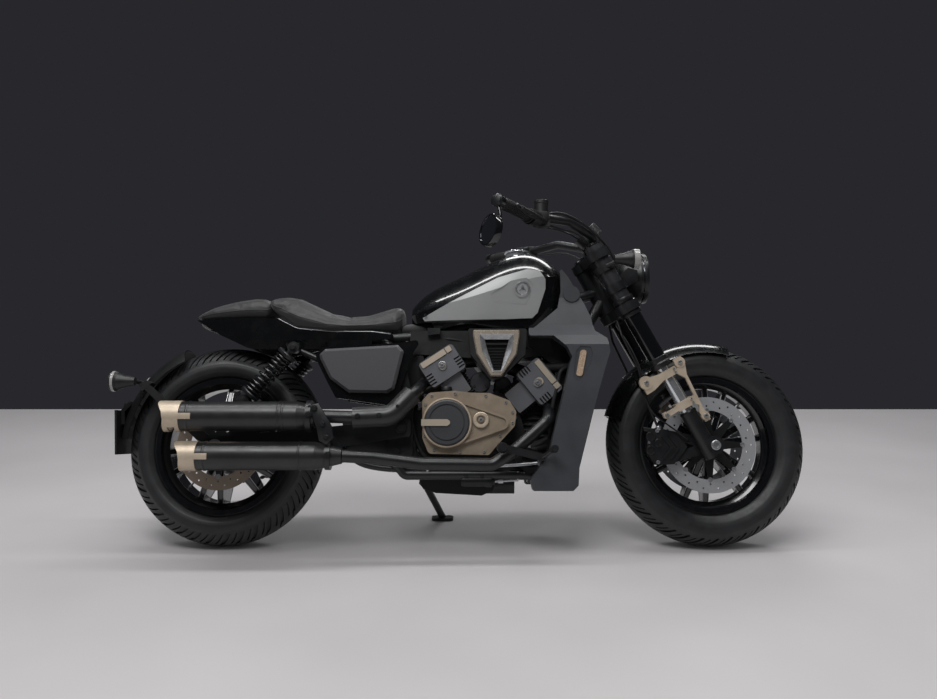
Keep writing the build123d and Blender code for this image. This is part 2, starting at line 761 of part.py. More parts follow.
with BuildPart() as front_calipers:
    body = [(-55, 58), (-23, 67), (28, 55), (68, 8), (24, -45), (-34, -48), (-61, -11)]
    inner = [(-38, 50), (10, 50), (10, -40), (-38, -40)]
    bridge = [(-38, 50), (-24, 50), (-24, -40), (-38, -40)]
    for hand in (-1, 1):
        slab([(caliper_x + x, caliper_z + z) for x, z in body], hand * (front_disc_y + 3), hand * caliper_out, 7)
        pad_y = hand * (front_disc_y - disc_t - 3)
        slab([(caliper_x + x, caliper_z + z) for x, z in inner], hand * 34, pad_y, 6)
        slab([(caliper_x + x, caliper_z + z) for x, z in bridge], hand * 34, hand * 90)
        for x in (-14, 8):
            rib = [(x, 40), (x + 9, 40), (x + 36, 6), (x + 9, -30), (x, -30), (x + 26, 6)]
            rib = [(caliper_x + dx, caliper_z + dz) for dx, dz in rib]
            slab(rib, hand * (caliper_out - 2), hand * (caliper_out + 4))
        leg_in = hand * (tube_y - foot_tube_d / 2)
        for drop in (50, -36):
            with BuildSketch(side(hand * caliper_arm_y)) as arm:
                with Locations((caliper_x + 6, caliper_z + drop)):
                    Circle(10)
                with Locations((front_axle_x, front_axle_z)):
                    Circle(19)
                make_hull()
            extrude(arm.sketch, amount=hand * caliper_arm_y - leg_in)
        eye = front_hub.offset(-hand * caliper_arm_y)
        disc(eye, foot_tube_d + 2, hand * caliper_arm_y - leg_in)
    disc(front_hub.offset(-tube_y), front_axle_d + 2 * fit, 2 * tube_y, mode=Mode.SUBTRACT)
finish(front_calipers, "front_calipers")

with BuildPart() as brake_hoses:
    for hand in (-1, 1):
        tube(
            hose_d,
            30,
            (caliper_x - 20, hand * 92, caliper_z + 66),
            (caliper_x - 50, hand * 104, caliper_z + 130),
            (548, hand * 96, 560),
            (502, hand * 88, 660),
            (486, hand * 70, 730),
        )
    add(yokes.part, mode=Mode.SUBTRACT)
    add(front_calipers.part, mode=Mode.SUBTRACT)
finish(brake_hoses, "brake_hoses")

# ---------------------------------------------------------------- frame
tunnel_roof = [(400, 822), (300, 815), (-120, 704), (-200, 702)]
tunnel = [(-200, 600), (400, 600)] + tunnel_roof
cowl_top = [(-236, 672), (-434, 672), (-544, 682), (-606, 714), (-700, 716), (-869, 714)]


def roof_z(x):
    """Height of the tank tunnel's roof over the front stretch of the backbone."""
    (x0, z0), (x1, z1) = tunnel_roof[2], tunnel_roof[1]
    return z0 + (z1 - z0) * (x - x0) / (x1 - x0)


with BuildPart() as frame:
    head_low = lower_yoke_t + yoke_h / 2 + 2
    head_high = upper_yoke_t - yoke_h / 2 - 2
    disc(steer.offset(head_low), head_d, head_high - head_low)
    for hand in (-1, 1):
        tube(
            frame_tube_d,
            60,
            (head_x - 51, hand * 14, head_z + 83),
            (300, hand * 42, 772),
            (-120, hand * 60, 662),
            (-262, hand * 84, 650),
        )
        tube(
            frame_tube_d,
            [70, 200, 50, 18],
            (head_x - 37, hand * 16, head_z + 49),
            (372, hand * 80, 650),
            (330, hand * down_y, 470),
            (280, hand * down_y, cradle_z),
            (-190, hand * down_y, cradle_z),
            (pivot_x - 26, hand * down_y, 268),
        )
        plate = [
            (pivot_x - 40, 268),
            (pivot_x + 34, 268),
            (pivot_x + 36, 440),
            (pivot_x + 10, 560),
            (pivot_x - 36, 560),
            (pivot_x - 46, 440),
        ]
        slab(plate, hand * plate_in_y, hand * (plate_in_y + plate_t), 10)
        rail_y = plate_in_y + plate_t - rail_d / 2
        tube(
            rail_d,
            40,
            (pivot_x - 16, hand * rail_y, 540),
            (-246, hand * 90, 640),
            (-560, hand * 78, 650),
            (-640, hand * 66, 690),
        )
        eye_in = hand * (shock_y - shock_eye_w / 2)
        tube(rail_d, 0, (shock_top_x, hand * 70, shock_top_z), (shock_top_x, eye_in, shock_top_z))
        tube(rail_d, 0, (shock_top_x, hand * 80, shock_top_z), (shock_top_x - 4, hand * 80, 648))
        tube(22, 0, (pivot_x - 18, hand * rail_y, 470), (shock_top_x, hand * 92, shock_top_z))
        for x, z in ((342, 560), (318, 420)):
            tube(16, 0, (x, hand * 96, z), (x, hand * shroud_y, z))
    tube(rail_d, 0, (-560, -78, 655), (-560, 78, 655))
    tube(rail_d, 0, (-262, -84, 650), (-262, 84, 650))
    tube(rail_d, 0, (262, -down_y, cradle_z), (262, down_y, cradle_z))
    with BuildSketch(side(plate_in_y + plate_t + 1)) as bolt:
        with Locations((pivot_x, pivot_z)):
            Circle(pivot_d / 2 + fit)
    extrude(bolt.sketch, amount=2 * (plate_in_y + plate_t + 1), mode=Mode.SUBTRACT)
    disc(steer.offset(head_low - 1), stem_d + 2 * fit, head_high - head_low + 2, mode=Mode.SUBTRACT)
    rest = [(-124, 660), (-84, 664), (-84, tank_low_z), (-124, tank_low_z)]
    slab(rest, -116, 116)
    post = [(262, 764), (290, 770), (290, roof_z(290)), (262, roof_z(262))]
    for hand in (-1, 1):
        slab(post, hand * 42 - 10, hand * 42 + 10)
    with BuildSketch(stand_hinge.offset(stand_head_t / 2 + stand_gap)) as ear:
        Circle(stand_head_d / 2)
        with Locations((lug_reach.length, 0)):
            Circle(frame_tube_d / 2 - 3)
        make_hull()
    extrude(ear.sketch, amount=stand_lug_t)
    pin = stand_hinge.offset(-stand_head_t / 2 - stand_gap)
    disc(pin, stand_pin_d, stand_head_t + 2 * stand_gap + stand_lug_t)
    disc(pin.offset(-5), stand_pin_d + 10, 5)
finish(frame, "frame")

# ---------------------------------------------------------------- engine
with BuildPart() as crankcase:
    upper = [
        (-70, 240),
        (-66, 436),
        (-20, 486),
        (60, 474),
        (102, 482),
        (168, 420),
        (190, 330),
        (150, 236),
        (60, 196),
        (-40, 196),
    ]
    slab(upper, -case_half, case_half, 12)
    rear = [(-176, 300), (-176, 420), (-120, 440), (-60, 440), (-60, 230), (-120, 240)]
    slab(rear, -case_half, case_half, 12)
    sump = [(-148, 236), (-140, 184), (-96, 168), (48, 160), (84, 176), (96, 230)]
    slab(sump, -0.8 * case_half, 0.8 * case_half, 10)
    filter_end = Plane(origin=(96, -20, 196), z_dir=(1, 0, 0))
    disc(filter_end.offset(-40), 66, 96)
finish(crankcase, "crankcase")

with BuildPart() as clutch_cover:
    base = [(-137, 452), (-136, 338), (-116, 290), (70, 286), (90, 310), (150, 374), (155, 418), (134, 452)]
    base += [(72, 475), (14, 476), (-35, 482), (-115, 476)]
    slab(base, -case_half, -case_half - cover_t, 14)
    for margin, depth, mode in ((0, drop_t, Mode.ADD), (-7, cap_seat - drop_t, Mode.SUBTRACT)):
        with BuildSketch(side(-case_half - cover_t - max(0, -depth) - (cap_seat if margin else 0))) as drop:
            with Locations((cover_x, cover_z)):
                Circle(clutch_d / 2 + margin)
            with Locations((cover_x + 168, cover_z)):
                Circle(22 + margin)
            make_hull()
        extrude(drop.sketch, amount=depth, mode=mode)
    face = Plane(side(-case_half - cover_t).location * Location((cover_x, cover_z, 0)))
    disc(face, clutch_d, 18, cap_d + 2 * fit)
    boss = Plane(side(-case_half - cover_t).location * Location((boss_x, boss_z, 0)))
    disc(boss, 50, 12)
    disc(boss.offset(9), 34, 3, 20, mode=Mode.SUBTRACT)
finish(clutch_cover, "clutch_cover")

with BuildPart() as clutch_cap:
    disc(face.offset(cap_seat), cap_d, cap_t - cap_seat)
    chamfer(clutch_cap.faces().sort_by(Axis.Y)[0].edges(), 4)
    disc(face.offset(cap_t - 3), cap_d - 26, 3, cap_d - 34, mode=Mode.SUBTRACT)
    bar = [(-78, -10), (-78, 10), (2, 10), (10, 4), (10, -4), (2, -10)]
    slab([(cover_x + x, cover_z + z) for x, z in bar], -case_half - cover_t - 18, -case_half - cover_t - cap_t - 4)
finish(clutch_cap, "clutch_cap")

with BuildPart() as alternator_cover:
    with BuildSketch(side(case_half)) as shape:
        with Locations((crank_x, crank_z - 10)):
            Circle(92)
        with Locations((crank_x - 62, crank_z - 26)):
            Circle(48)
        make_hull()
    extrude(shape.sketch, amount=-(cover_t - 12))
finish(alternator_cover, "alternator_cover")


def cylinder(angle):
    """Finned barrel and finned head of one bank."""
    bank = bank_plane(angle)
    with BuildSketch(bank.offset(60)) as bore:
        RectangleRounded(head_w - 12, 2 * barrel_half - 12, 30)
    extrude(bore.sketch, amount=head_end - 16 - 60)
    count = int((head_end - 24 - 96) / fin_pitch)
    for n in range(count):
        height = 98 + n * fin_pitch
        half = barrel_half if height < head_start else head_half
        with BuildSketch(bank.offset(height)) as fin:
            RectangleRounded(head_w, 2 * half, 26)
        extrude(fin.sketch, amount=fin_t)
    with BuildSketch(bank.offset(head_end - 24)) as lid:
        RectangleRounded(head_w, 2 * head_half, 26)
    extrude(lid.sketch, amount=24)
    add(crankcase.part, mode=Mode.SUBTRACT)


with BuildPart() as rear_cylinder:
    cylinder(rear_bank)
finish(rear_cylinder, "rear_cylinder")

with BuildPart() as front_cylinder:
    cylinder(front_bank)
finish(front_cylinder, "front_cylinder")

with BuildPart() as head_covers:
    for angle in (rear_bank, front_bank):
        bank = bank_plane(angle)
        for hand in (-1, 1):
            middle = (head_start + head_end) / 2
            face = Plane(
                bank.location * Location((0, hand * head_half, middle)) * Location((0, 0, 0), (-90 * hand, 0, 0))
            )
            up = -hand  # the face's own y, along the bore
            with BuildSketch(face) as block:
                RectangleRounded(head_cover_w, head_cover_l, 14)
            extrude(block.sketch, amount=cover_reach, taper=6)
            with BuildSketch(face.offset(cover_reach - 12)) as notches:
                for across in (-1, 1):
                    for n in range(4):
                        with Locations((across * (head_cover_w / 2 - 12), up * (n * 2 * notch_w - 34))):
                            Rectangle(26, notch_w)
            extrude(notches.sketch, amount=14, mode=Mode.SUBTRACT)
            with BuildSketch(face.offset(cover_reach)) as raised:
                with Locations((0, up * -2)):
                    Circle(13)
                with Locations((-12, up * (head_cover_l / 2 - 4 - band_w / 2))):
                    RectangleRounded(head_cover_w - 44, band_w - 4, 3)
                with Locations((head_cover_w / 2 - 22, up * (head_cover_l / 2 - 4 - band_w / 2))):
                    RectangleRounded(18, band_w - 4, 3)
            extrude(raised.sketch, amount=4)
            skirt = Plane(face.location * Location((0, up * -(head_cover_l / 2 + 26), 0)))
            with BuildSketch(skirt.offset(barrel_half - head_half)) as plate:
                RectangleRounded(76, 76, 6)
            extrude(plate.sketch, amount=cover_reach - 8)
    add(crankcase.part, mode=Mode.SUBTRACT)
    add(rear_cylinder.part, mode=Mode.SUBTRACT)
    add(front_cylinder.part, mode=Mode.SUBTRACT)
    add(clutch_cover.part, mode=Mode.SUBTRACT)
    add(alternator_cover.part, mode=Mode.SUBTRACT)
finish(head_covers, "head_covers")

with BuildPart() as airbox:
    housing = [(5, 675), (190, 675), (184, 594), (108, 519), (72, 519), (14, 594)]
    slab(housing, -airbox_half, airbox_half, 6)
    slab([(-186, 602), (-178, 676), (262, 676), (280, 600), (190, 590), (0, 590)], -96, 96, 6)
    slab([(-196, 452), (-196, 640), (-130, 640), (-138, 560), (-138, 452)], -56, 56, 6)
    rear_inlet = bank_plane(rear_bank).from_local_coords(Vector(head_w / 2 - 6, 0, 226))
    front_inlet = bank_plane(front_bank).from_local_coords(Vector(-head_w / 2 + 6, 0, 226))
    tube(airbox_d, 0, (rear_inlet.X, 0, rear_inlet.Z), (92, 0, 596))
    tube(airbox_d, 0, (front_inlet.X, 0, front_inlet.Z), (92, 0, 582))
    mouth = [(55, 642), (135, 642), (107, 542), (85, 542)]
    for hand in (-1, 1):
        slab(mouth, hand * (airbox_half - 24), hand * (airbox_half + 1), mode=Mode.SUBTRACT)
        for n in range(9):
            slat = [(50, 548 + 9 * n), (140, 548 + 9 * n), (140, 551 + 9 * n), (50, 551 + 9 * n)]
            slab(slat, hand * (airbox_half - 24), hand * (airbox_half - 8))
        slab([(50, 624), (140, 624), (140, 629), (50, 629)], hand * (airbox_half - 24), hand * airbox_half)
    for neighbour in (rear_cylinder, front_cylinder, head_covers, crankcase, frame):
        add(neighbour.part, mode=Mode.SUBTRACT)
finish(airbox, "airbox")

with BuildPart() as intake_cover:
    rim = [(21, 670), (167, 670), (167, 650), (157, 593), (109, 525), (75, 525), (32, 593), (21, 650)]
    slab(rim, -airbox_half, -airbox_half - 4, 5)
    extrude(outline(side(-airbox_half - 4), rim, 5), amount=intake_t - 4, taper=22)
    with BuildSketch(side(-airbox_half + 1)) as inside:
        Polygon((55, 642), (135, 642), (121, 592), (107, 542), (85, 542), (69, 592), align=None)
    with BuildSketch(side(-airbox_half - intake_t - 1)) as outside:
        Polygon((40, 656), (148, 656), (143, 606), (109, 537), (81, 537), (47, 606), align=None)
    loft([inside.sketch, outside.sketch], mode=Mode.SUBTRACT)
    mirror(about=Plane.XZ)
finish(intake_cover, "intake_cover")

# ---------------------------------------------------------------- tank
def tank_rib(x, low, shoulder, top, half):
    """One cross-section of the tank: flat floor, near-upright sides, round back."""
    with BuildSketch(Plane.YZ.offset(x)) as rib:
        with BuildLine():
            Line((-half * 0.82, low), (half * 0.82, low))
            Line((half * 0.82, low), (half, shoulder))
            ThreePointArc((half, shoulder), (0, top), (-half, shoulder))
            Line((-half, shoulder), (-half * 0.82, low))
        make_face()
    return rib.sketch


tank_ribs = [  # x, floor, shoulder, top, half-width
    (-178, 702, 728, 762, 66),
    (-50, 690, 762, 852, 0.82 * tank_half),
    (90, tank_low_z, 800, 920, tank_half),
    (215, tank_low_z, 838, 945, 0.97 * tank_half),
    (288, 750, 850, 908, 0.78 * tank_half),
    (323, 818, 846, 862, 0.41 * tank_half),
]
with BuildPart() as fuel_tank:
    loft([tank_rib(*rib) for rib in tank_ribs])
    slab(tunnel, -tunnel_half - 18, tunnel_half + 18, mode=Mode.SUBTRACT)
    slab([(-400, 500), (600, 500), (600, tank_low_z), (-400, tank_low_z)], -300, 300, mode=Mode.SUBTRACT)
finish(fuel_tank, "fuel_tank")

with BuildPart() as tank_side_panels:
    grown = []
    for x, low, shoulder, top, half in tank_ribs:
        grown.append((x, low, shoulder + 2, top + panel_t, half + panel_t))
    loft([tank_rib(*rib) for rib in grown])
    mask = [
        (-172, 704),
        (-46, 768),
        (101, 842),
        (198, 871),
        (236, 866),
        (254, 838),
        (254, 808),
        (228, 731),
        (210, 713),
        (107, 708),
        (-52, 703),
    ]
    slab(mask, -300, -tunnel_half - 18, 6, mode=Mode.INTERSECT)
    add(fuel_tank.part, mode=Mode.SUBTRACT)
    dip_y = -0.966 * tank_half - panel_skin
    dip = Plane(origin=(200, dip_y, 800), x_dir=(1, 0.08, 0), z_dir=(0.08, -1, -0.2))
    drop = [(-141, -26), (-92, 8), (-44, 40), (-10, 42), (12, 20), (4, -20), (-10, -48), (-76, -42), (-131, -33)]
    extrude(outline(dip, drop, 5), amount=40, mode=Mode.SUBTRACT)
    emblem = Plane(dip.location * Location((-23, 4, -0.5)))
    disc(emblem, emblem_d, emblem_t)
    disc(emblem.offset(emblem_t - 1), emblem_d - 8, 1, emblem_d - 14, mode=Mode.SUBTRACT)
    mirror(about=Plane.XZ)
finish(tank_side_panels, "tank_side_panels")

with BuildPart() as filler_cap:
    with BuildSketch(Plane.XY.offset(930)) as lid:
        with Locations((170, 0)):
            Circle(38)
    extrude(lid.sketch, amount=26)
    add(fuel_tank.part, mode=Mode.SUBTRACT)
finish(filler_cap, "filler_cap")

# ---------------------------------------------------------------- seats and tail
def plan_view(points, low, high):
    """A solid between two heights with a plan outline given for the left half."""
    whole = points + [(x, -y) for x, y in reversed(points)]
    extrude(outline(Plane.XY.offset(low), whole, 12), amount=high - low, mode=Mode.INTERSECT)


with BuildPart() as rider_seat:
    points = [
        (-644, 789),
        (-577, 792),
        (-525, 767),
        (-449, 733),
        (-388, 725),
        (-300, 736),
        (-212, 762),
        (-194, 738),
    ] + [(x, z + fit) for x, z in cowl_top[:4]]
    slab(points, -seat_half, seat_half)
    plan_view([(-660, 100), (-560, 122), (-430, seat_half), (-330, 120), (-180, 74)], 600, 900)
finish(rider_seat, "rider_seat")

with BuildPart() as pillion_pad:
    points = [(-897, 738), (-821, 768), (-700, 793), (-652, 788), (-611, 718)]
    points += [(x, z + fit) for x, z in cowl_top[4:]]
    slab(points, -pad_half, pad_half)
    plan_view([(-900, 60), (-800, 88), (-690, pad_half), (-600, pad_half)], 600, 900)
finish(pillion_pad, "pillion_pad")

side_in = plate_in_y + plate_t
side_rim = [(-474, 596), (-452, 618), (-209, 632), (-140, 644), (-167, 604), (-189, 540), (-213, 462)]
side_rim += [(-239, 436), (-407, 460), (-433, 506), (-471, 578)]
side_panel = [(-460, 594), (-442, 611), (-214, 624), (-196, 604), (-224, 486), (-246, 474), (-366, 476)]
side_panel += [(-424, 518), (-456, 578)]
side_lug = [(-440, 600), (-440, 640), (-300, 644), (-300, 600)]



def cowl_flanks(wall):
    """Trim to the cowl's plan and to its flanks, which lean in towards the bottom."""
    half = cowl_half - wall
    plan_view([(-890 + wall, 62 - wall), (-800, 92 - wall), (-690, half), (-234, half)], 400, 800)
    flank = [(half, 720), (half, 646), (half - 8, 616), (half - 30, 588), (half - 40, 490)]
    flank += [(-y, z) for y, z in reversed(flank)]
    extrude(outline(Plane.YZ.offset(-900), flank), amount=700, mode=Mode.INTERSECT)


with BuildPart() as cowl_hollow:
    slab([(-800, 500), (-200, 500), (-200, 700), (-610, 700), (-800, 690)], -cowl_half, cowl_half)
    cowl_flanks(cowl_wall)

with BuildPart() as tail_cowl:
    points = [
        (-880, 714),
        (-793, 663),
        (-704, 622),
        (-634, 602),
        (-556, 592),
        (-479, 609),
        (-234, 650),
    ] + cowl_top
    slab(points, -cowl_half, cowl_half)
    cowl_flanks(0)
    add(cowl_hollow.part, mode=Mode.SUBTRACT)
    for hand in (-1, 1):
        slab(side_rim, hand * side_in, hand * (side_in + side_rim_t), 10)
        slab(side_lug, hand * (cowl_half - cowl_wall), hand * side_in)
    add(frame.part, mode=Mode.SUBTRACT)
finish(tail_cowl, "tail_cowl")

with BuildPart() as side_covers:
    rim_out = -side_in - side_rim_t
    bevel_at = rim_out - side_cover_t + side_bevel_t
    slab(side_panel, rim_out, bevel_at, 8)
    extrude(outline(side(bevel_at), side_panel, 8), amount=side_bevel_t, taper=40)
    mirror(about=Plane.XZ)
finish(side_covers, "side_covers")

# ---------------------------------------------------------------- radiator and shrouds
with BuildPart() as radiator:
    core = [(416, 598), (384, 606), (322, 322), (354, 316)]
    slab(core, -shroud_y, shroud_y)
    fan = [(382, 580), (346, 588), (292, 360), (331, 352)]
    slab(fan, -72, 72, 6)
    core_face = Plane(origin=(385, 0, 457), x_dir=(0, 1, 0), z_dir=(276, 0, -62))
    with BuildSketch(core_face.offset(-3)) as window:
        Rectangle(2 * shroud_y - 40, 250)
    extrude(window.sketch, amount=4, mode=Mode.SUBTRACT)
    with BuildSketch(core_face.offset(-3)) as slats:
        with GridLocations(0, 12, 1, 20):
            Rectangle(2 * shroud_y - 40, 3)
    extrude(slats.sketch, amount=2)
finish(radiator, "radiator")

shroud_out = shroud_y + shroud_t
with BuildPart() as radiator_shrouds:
    points = [
        (196, 651),
        (196, 678),
        (212, 678),
        (292, 746),
        (304, 800),
        (304, 884),
        (330, 848),
        (362, 790),
        (378, 760),
        (396, 715),
        (404, 668),
        (438, 642),
        (444, 600),
        (434, 572),
        (396, 451),
        (358, 314),
        (340, 250),
        (336, 198),
        (320, 182),
        (200, 182),
        (192, 214),
        (250, 288),
        (262, 340),
        (300, 480),
        (318, 560),
        (326, 584),
        (312, 614),
        (272, 651),
    ]
    slab(points, -shroud_out, -shroud_in, 5)
    slope = [
        (-shroud_in, 900),
        (-shroud_in - 12, 900),
        (-shroud_in - 18, 780),
        (-shroud_y + 6, 690),
        (-shroud_out + 18, 652),
        (-shroud_out, 622),
        (-shroud_out, 150),
        (-shroud_y, 150),
        (-shroud_y, 612),
        (-shroud_in, 656),
    ]
    extrude(outline(Plane.YZ.offset(150), slope), amount=320, mode=Mode.INTERSECT)
    horn = Plane(side(-shroud_in - 12).location * Location((338, 792, 0)))
    disc(horn, 52, 14)
    dent = [(352, 616), (384, 614), (391, 591), (380, 556), (344, 505), (328, 520), (338, 600)]
    slab(dent, -shroud_out + recess, -shroud_out - 1, 6, mode=Mode.SUBTRACT)
    add(frame.part, mode=Mode.SUBTRACT)
    add(fuel_tank.part, mode=Mode.SUBTRACT)
    mirror(about=Plane.XZ)
finish(radiator_shrouds, "radiator_shrouds")

with BuildPart() as shroud_inserts:
    for hand in (-1, 1):
        floor_y = shroud_out - recess
        slab([(352, 604), (372, 604), (355, 524), (335, 524)], hand * floor_y, hand * (floor_y + 4), 8)
finish(shroud_inserts, "shroud_inserts")

# ---------------------------------------------------------------- swingarm and shocks
def wheel_point(angle, reach):
    """x and z of a place by the rear wheel, at an angle above forward and a distance from its axle."""
    return rear_axle_x + reach * cos(radians(angle)), rear_axle_z + reach * sin(radians(angle))


caliper_jaw = [(18, -26), (18, 4), (24, 18), (46, 18), (52, 4), (52, -26), (35, -34)]

with BuildPart() as swingarm:
    for hand in (-1, 1):
        arm = [
            (pivot_x + 30, pivot_z + 26),
            (pivot_x - 219, pivot_z + 3),
            (rear_axle_x + 120, rear_axle_z + 39),
            (rear_axle_x - 42, rear_axle_z + 22),
            (rear_axle_x - 42, rear_axle_z - 22),
            (rear_axle_x + 120, rear_axle_z - 15),
            (pivot_x - 219, pivot_z - 63),
            (pivot_x + 30, pivot_z - 26),
        ]
        slab(arm, hand * (arm_y - arm_t / 2), hand * (arm_y + arm_t / 2), 8)
        lug = [
            (shock_bottom_x - 44, rear_axle_z + 17),
            (shock_bottom_x - 18, shock_bottom_z + 8),
            (shock_bottom_x, shock_bottom_z + 18),
            (shock_bottom_x + 18, shock_bottom_z + 8),
            (shock_bottom_x + 44, rear_axle_z + 17),
        ]
        eye_in = shock_y - shock_eye_w / 2
        slab(lug, hand * eye_in, hand * (eye_in - 6), 4)
        bolt_in = (shock_bottom_x, hand * (eye_in - 3), shock_bottom_z)
        tube(shock_bolt_d, 0, bolt_in, (shock_bottom_x, hand * (shock_y + 18), shock_bottom_z))
    jaw = [wheel_point(angle, rear_disc_d / 2 + out) for angle, out in caliper_jaw]
    slab(jaw, -rear_disc_y - 4, -shock_y + shock_eye_w / 2 + 6, 5)
    slab(jaw, -rear_disc_y + disc_t + 4, -rear_disc_y + disc_t + 18, 5)
    crown = [wheel_point(angle, rear_disc_d / 2 + out) for angle, out in ((24, 4), (46, 4), (46, 18), (24, 18))]
    slab(crown, -shock_y + shock_eye_w / 2 + 6, -rear_disc_y + disc_t + 18)
    cross = [(-54, -31), (-54, 7), (-94, 5), (-94, -33)]
    slab([(pivot_x + x, pivot_z + z) for x, z in cross], -arm_y, arm_y)
    with BuildSketch(side(arm_y + arm_t / 2 + 8)) as bolt:
        with Locations((pivot_x, pivot_z)):
            Circle(pivot_d / 2)
    extrude(bolt.sketch, amount=2 * arm_y + arm_t + 16)
    with BuildSketch(side(arm_y + arm_t / 2 + 10)) as axle:
        with Locations((rear_axle_x, rear_axle_z)):
            Circle(rear_axle_d / 2)
    extrude(axle.sketch, amount=2 * arm_y + arm_t + 20)
finish(swingarm, "swingarm")

shock_axis = Vector(shock_top_x - shock_bottom_x, 0, shock_top_z - shock_bottom_z)
spring_low = 32
spring_high = shock_axis.length - 34
with BuildPart() as shocks:
    for hand in (-1, 1):
        low = Plane(origin=(shock_bottom_x, hand * shock_y, shock_bottom_z), z_dir=shock_axis)
        disc(low, 18, shock_axis.length)
        disc(low.offset(spring_low - 8), spring_d + 2, 8)
        disc(low.offset(spring_low), 34, 60)
        disc(low.offset(spring_high), spring_d + 2, 8)
        for x, z in ((shock_bottom_x, shock_bottom_z), (shock_top_x, shock_top_z)):
            with BuildSketch(side(hand * shock_y + shock_eye_w / 2)) as eye:
                with Locations((x, z)):
                    Circle(18)
            extrude(eye.sketch, amount=shock_eye_w)
        with BuildSketch(side(hand * shock_y + shock_eye_w)) as bolt:
            with Locations((shock_bottom_x, shock_bottom_z)):
                Circle(shock_bolt_d / 2 + fit)
        extrude(bolt.sketch, amount=2 * shock_eye_w, mode=Mode.SUBTRACT)
finish(shocks, "shocks")

with BuildPart() as shock_springs:
    for hand in (-1, 1):
        low = Vector(shock_bottom_x, hand * shock_y, shock_bottom_z)
        up = shock_axis.normalized()
        section_plane = Plane(origin=low, x_dir=(up.Z, 0, -up.X), z_dir=(0, -1, 0))
        pitch = (spring_high - spring_low) / spring_turns
        with BuildSketch(section_plane) as coils:
            with BuildLine():
                points = [(34 / 2 + fit, spring_low)]
                for turn in range(spring_turns):
                    base = spring_low + turn * pitch
                    points.append((spring_d / 2 - wire_d, base))
                    points.append((spring_d / 2, base + pitch * 0.3))
                    points.append((spring_d / 2, base + pitch * 0.7))
                points.append((spring_d / 2 - wire_d, spring_high))
                points.append((34 / 2 + fit, spring_high))
                Polyline(*points, close=True)
            make_face()
        revolve(coils.sketch, axis=Axis(low, up))
finish(shock_springs, "shock_springs")

# ---------------------------------------------------------------- exhaust
with BuildPart() as upper_muffler:
    shell = Plane(origin=(-855, muffler_y, upper_muffler_z), z_dir=(1, 0, 0))
    disc(shell, upper_muffler_d, 348)
    with BuildSketch(shell.offset(348)) as wide:
        Circle(upper_muffler_d / 2)
    with BuildSketch(shell.offset(398)) as narrow:
        Circle(30)
    loft([wide.sketch, narrow.sketch])
finish(upper_muffler, "upper_muffler")

with BuildPart() as lower_muffler:
    shell = Plane(origin=(-800, muffler_y, lower_muffler_z), z_dir=(1, 0, 0))
    disc(shell, lower_muffler_d, 350)
    with BuildSketch(shell.offset(350)) as wide:
        Circle(lower_muffler_d / 2)
    with BuildSketch(shell.offset(428)) as narrow:
        Circle(pipe_d / 2 + 4)
    loft([wide.sketch, narrow.sketch])
finish(lower_muffler, "lower_muffler")

with BuildPart() as muffler_tips:
    for x, z, d in ((-855, upper_muffler_z, upper_muffler_d), (-800, lower_muffler_z, lower_muffler_d)):
        front = Plane(origin=(x + tongue, muffler_y, z), z_dir=(-1, 0, 0))
        disc(front, d + 5, tongue + 68, d)
        disc(front.offset(tongue), d, 68, d - 6)
        above = [(x - 1, z + 9), (x + tongue + 1, z + 9), (x + tongue + 1, z + d), (x - 1, z + d)]
        below = [(a, 2 * z - b) for a, b in above]
        rear = [(x - 69, z + d / 2 - 4), (x - 52, z + 14), (x - 47, z - 10), (x - 56, z - d), (x - 90, z - d)]
        rear += [(x - 90, z + d), (x - 69, z + d)]
        for cut in (above, below, rear):
            slab(cut, muffler_y - d, muffler_y + d, mode=Mode.SUBTRACT)
finish(muffler_tips, "muffler_tips")

with BuildPart() as exhaust_pipes:
    rear_port = bank_plane(rear_bank).from_local_coords(Vector(-head_w / 2 + 2, -50, 214))
    front_port = bank_plane(front_bank).from_local_coords(Vector(head_w / 2 - 2, -50, 214))
    tube(
        pipe_d,
        34,
        (-457, muffler_y, upper_muffler_z),
        (-300, muffler_y + 14, 398),
        (-228, -190, 404),
        (-158, -164, 478),
        (rear_port.X - 34, -92, rear_port.Z - 18),
        (rear_port.X, -60, rear_port.Z),
    )
    tube(
        pipe_d,
        34,
        (-372, muffler_y, lower_muffler_z),
        (-274, -206, 280),
        (-136, -198, 262),
        (80, -186, 259),
        (146, -180, 300),
        (252, -168, 392),
        (front_port.X + 12, -112, front_port.Z - 40),
        (front_port.X, -70, front_port.Z),
    )
    for neighbour in (rear_cylinder, front_cylinder, head_covers, upper_muffler, lower_muffler):
        add(neighbour.part, mode=Mode.SUBTRACT)
finish(exhaust_pipes, "exhaust_pipes")

with BuildPart() as heat_shield:
    tube(
        shield_d,
        52,
        (-344, muffler_y + 12, 398),
        (-228, muffler_y + 18, 404),
        (-166, -182, 470),
    )
    tube(
        shield_d - 8,
        50,
        (-346, muffler_y + 12, 398),
        (-228, muffler_y + 18, 404),
        (-162, -180, 474),
        mode=Mode.SUBTRACT,
    )
    add(side_covers.part, mode=Mode.SUBTRACT)
    add(exhaust_pipes.part, mode=Mode.SUBTRACT)
finish(heat_shield, "heat_shield")

with BuildPart() as exhaust_bracket:
    y_out = muffler_y + lower_muffler_d / 2 + 2
    strap = [(-470, 380), (-440, 392), (-372, 300), (-398, 286)]
    slab(strap, -arm_y - arm_t / 2 - 9, -arm_y - arm_t / 2)
    for x, z, r in ((-480, upper_muffler_z, 40), (-420, lower_muffler_z, 34)):
        band = Plane(origin=(x, muffler_y, z), z_dir=(1, 0, 0))
        disc(band, 2 * r + 14, 16)
    for neighbour in (upper_muffler, lower_muffler, exhaust_pipes):
        add(neighbour.part, mode=Mode.SUBTRACT)
finish(exhaust_bracket, "exhaust_bracket")

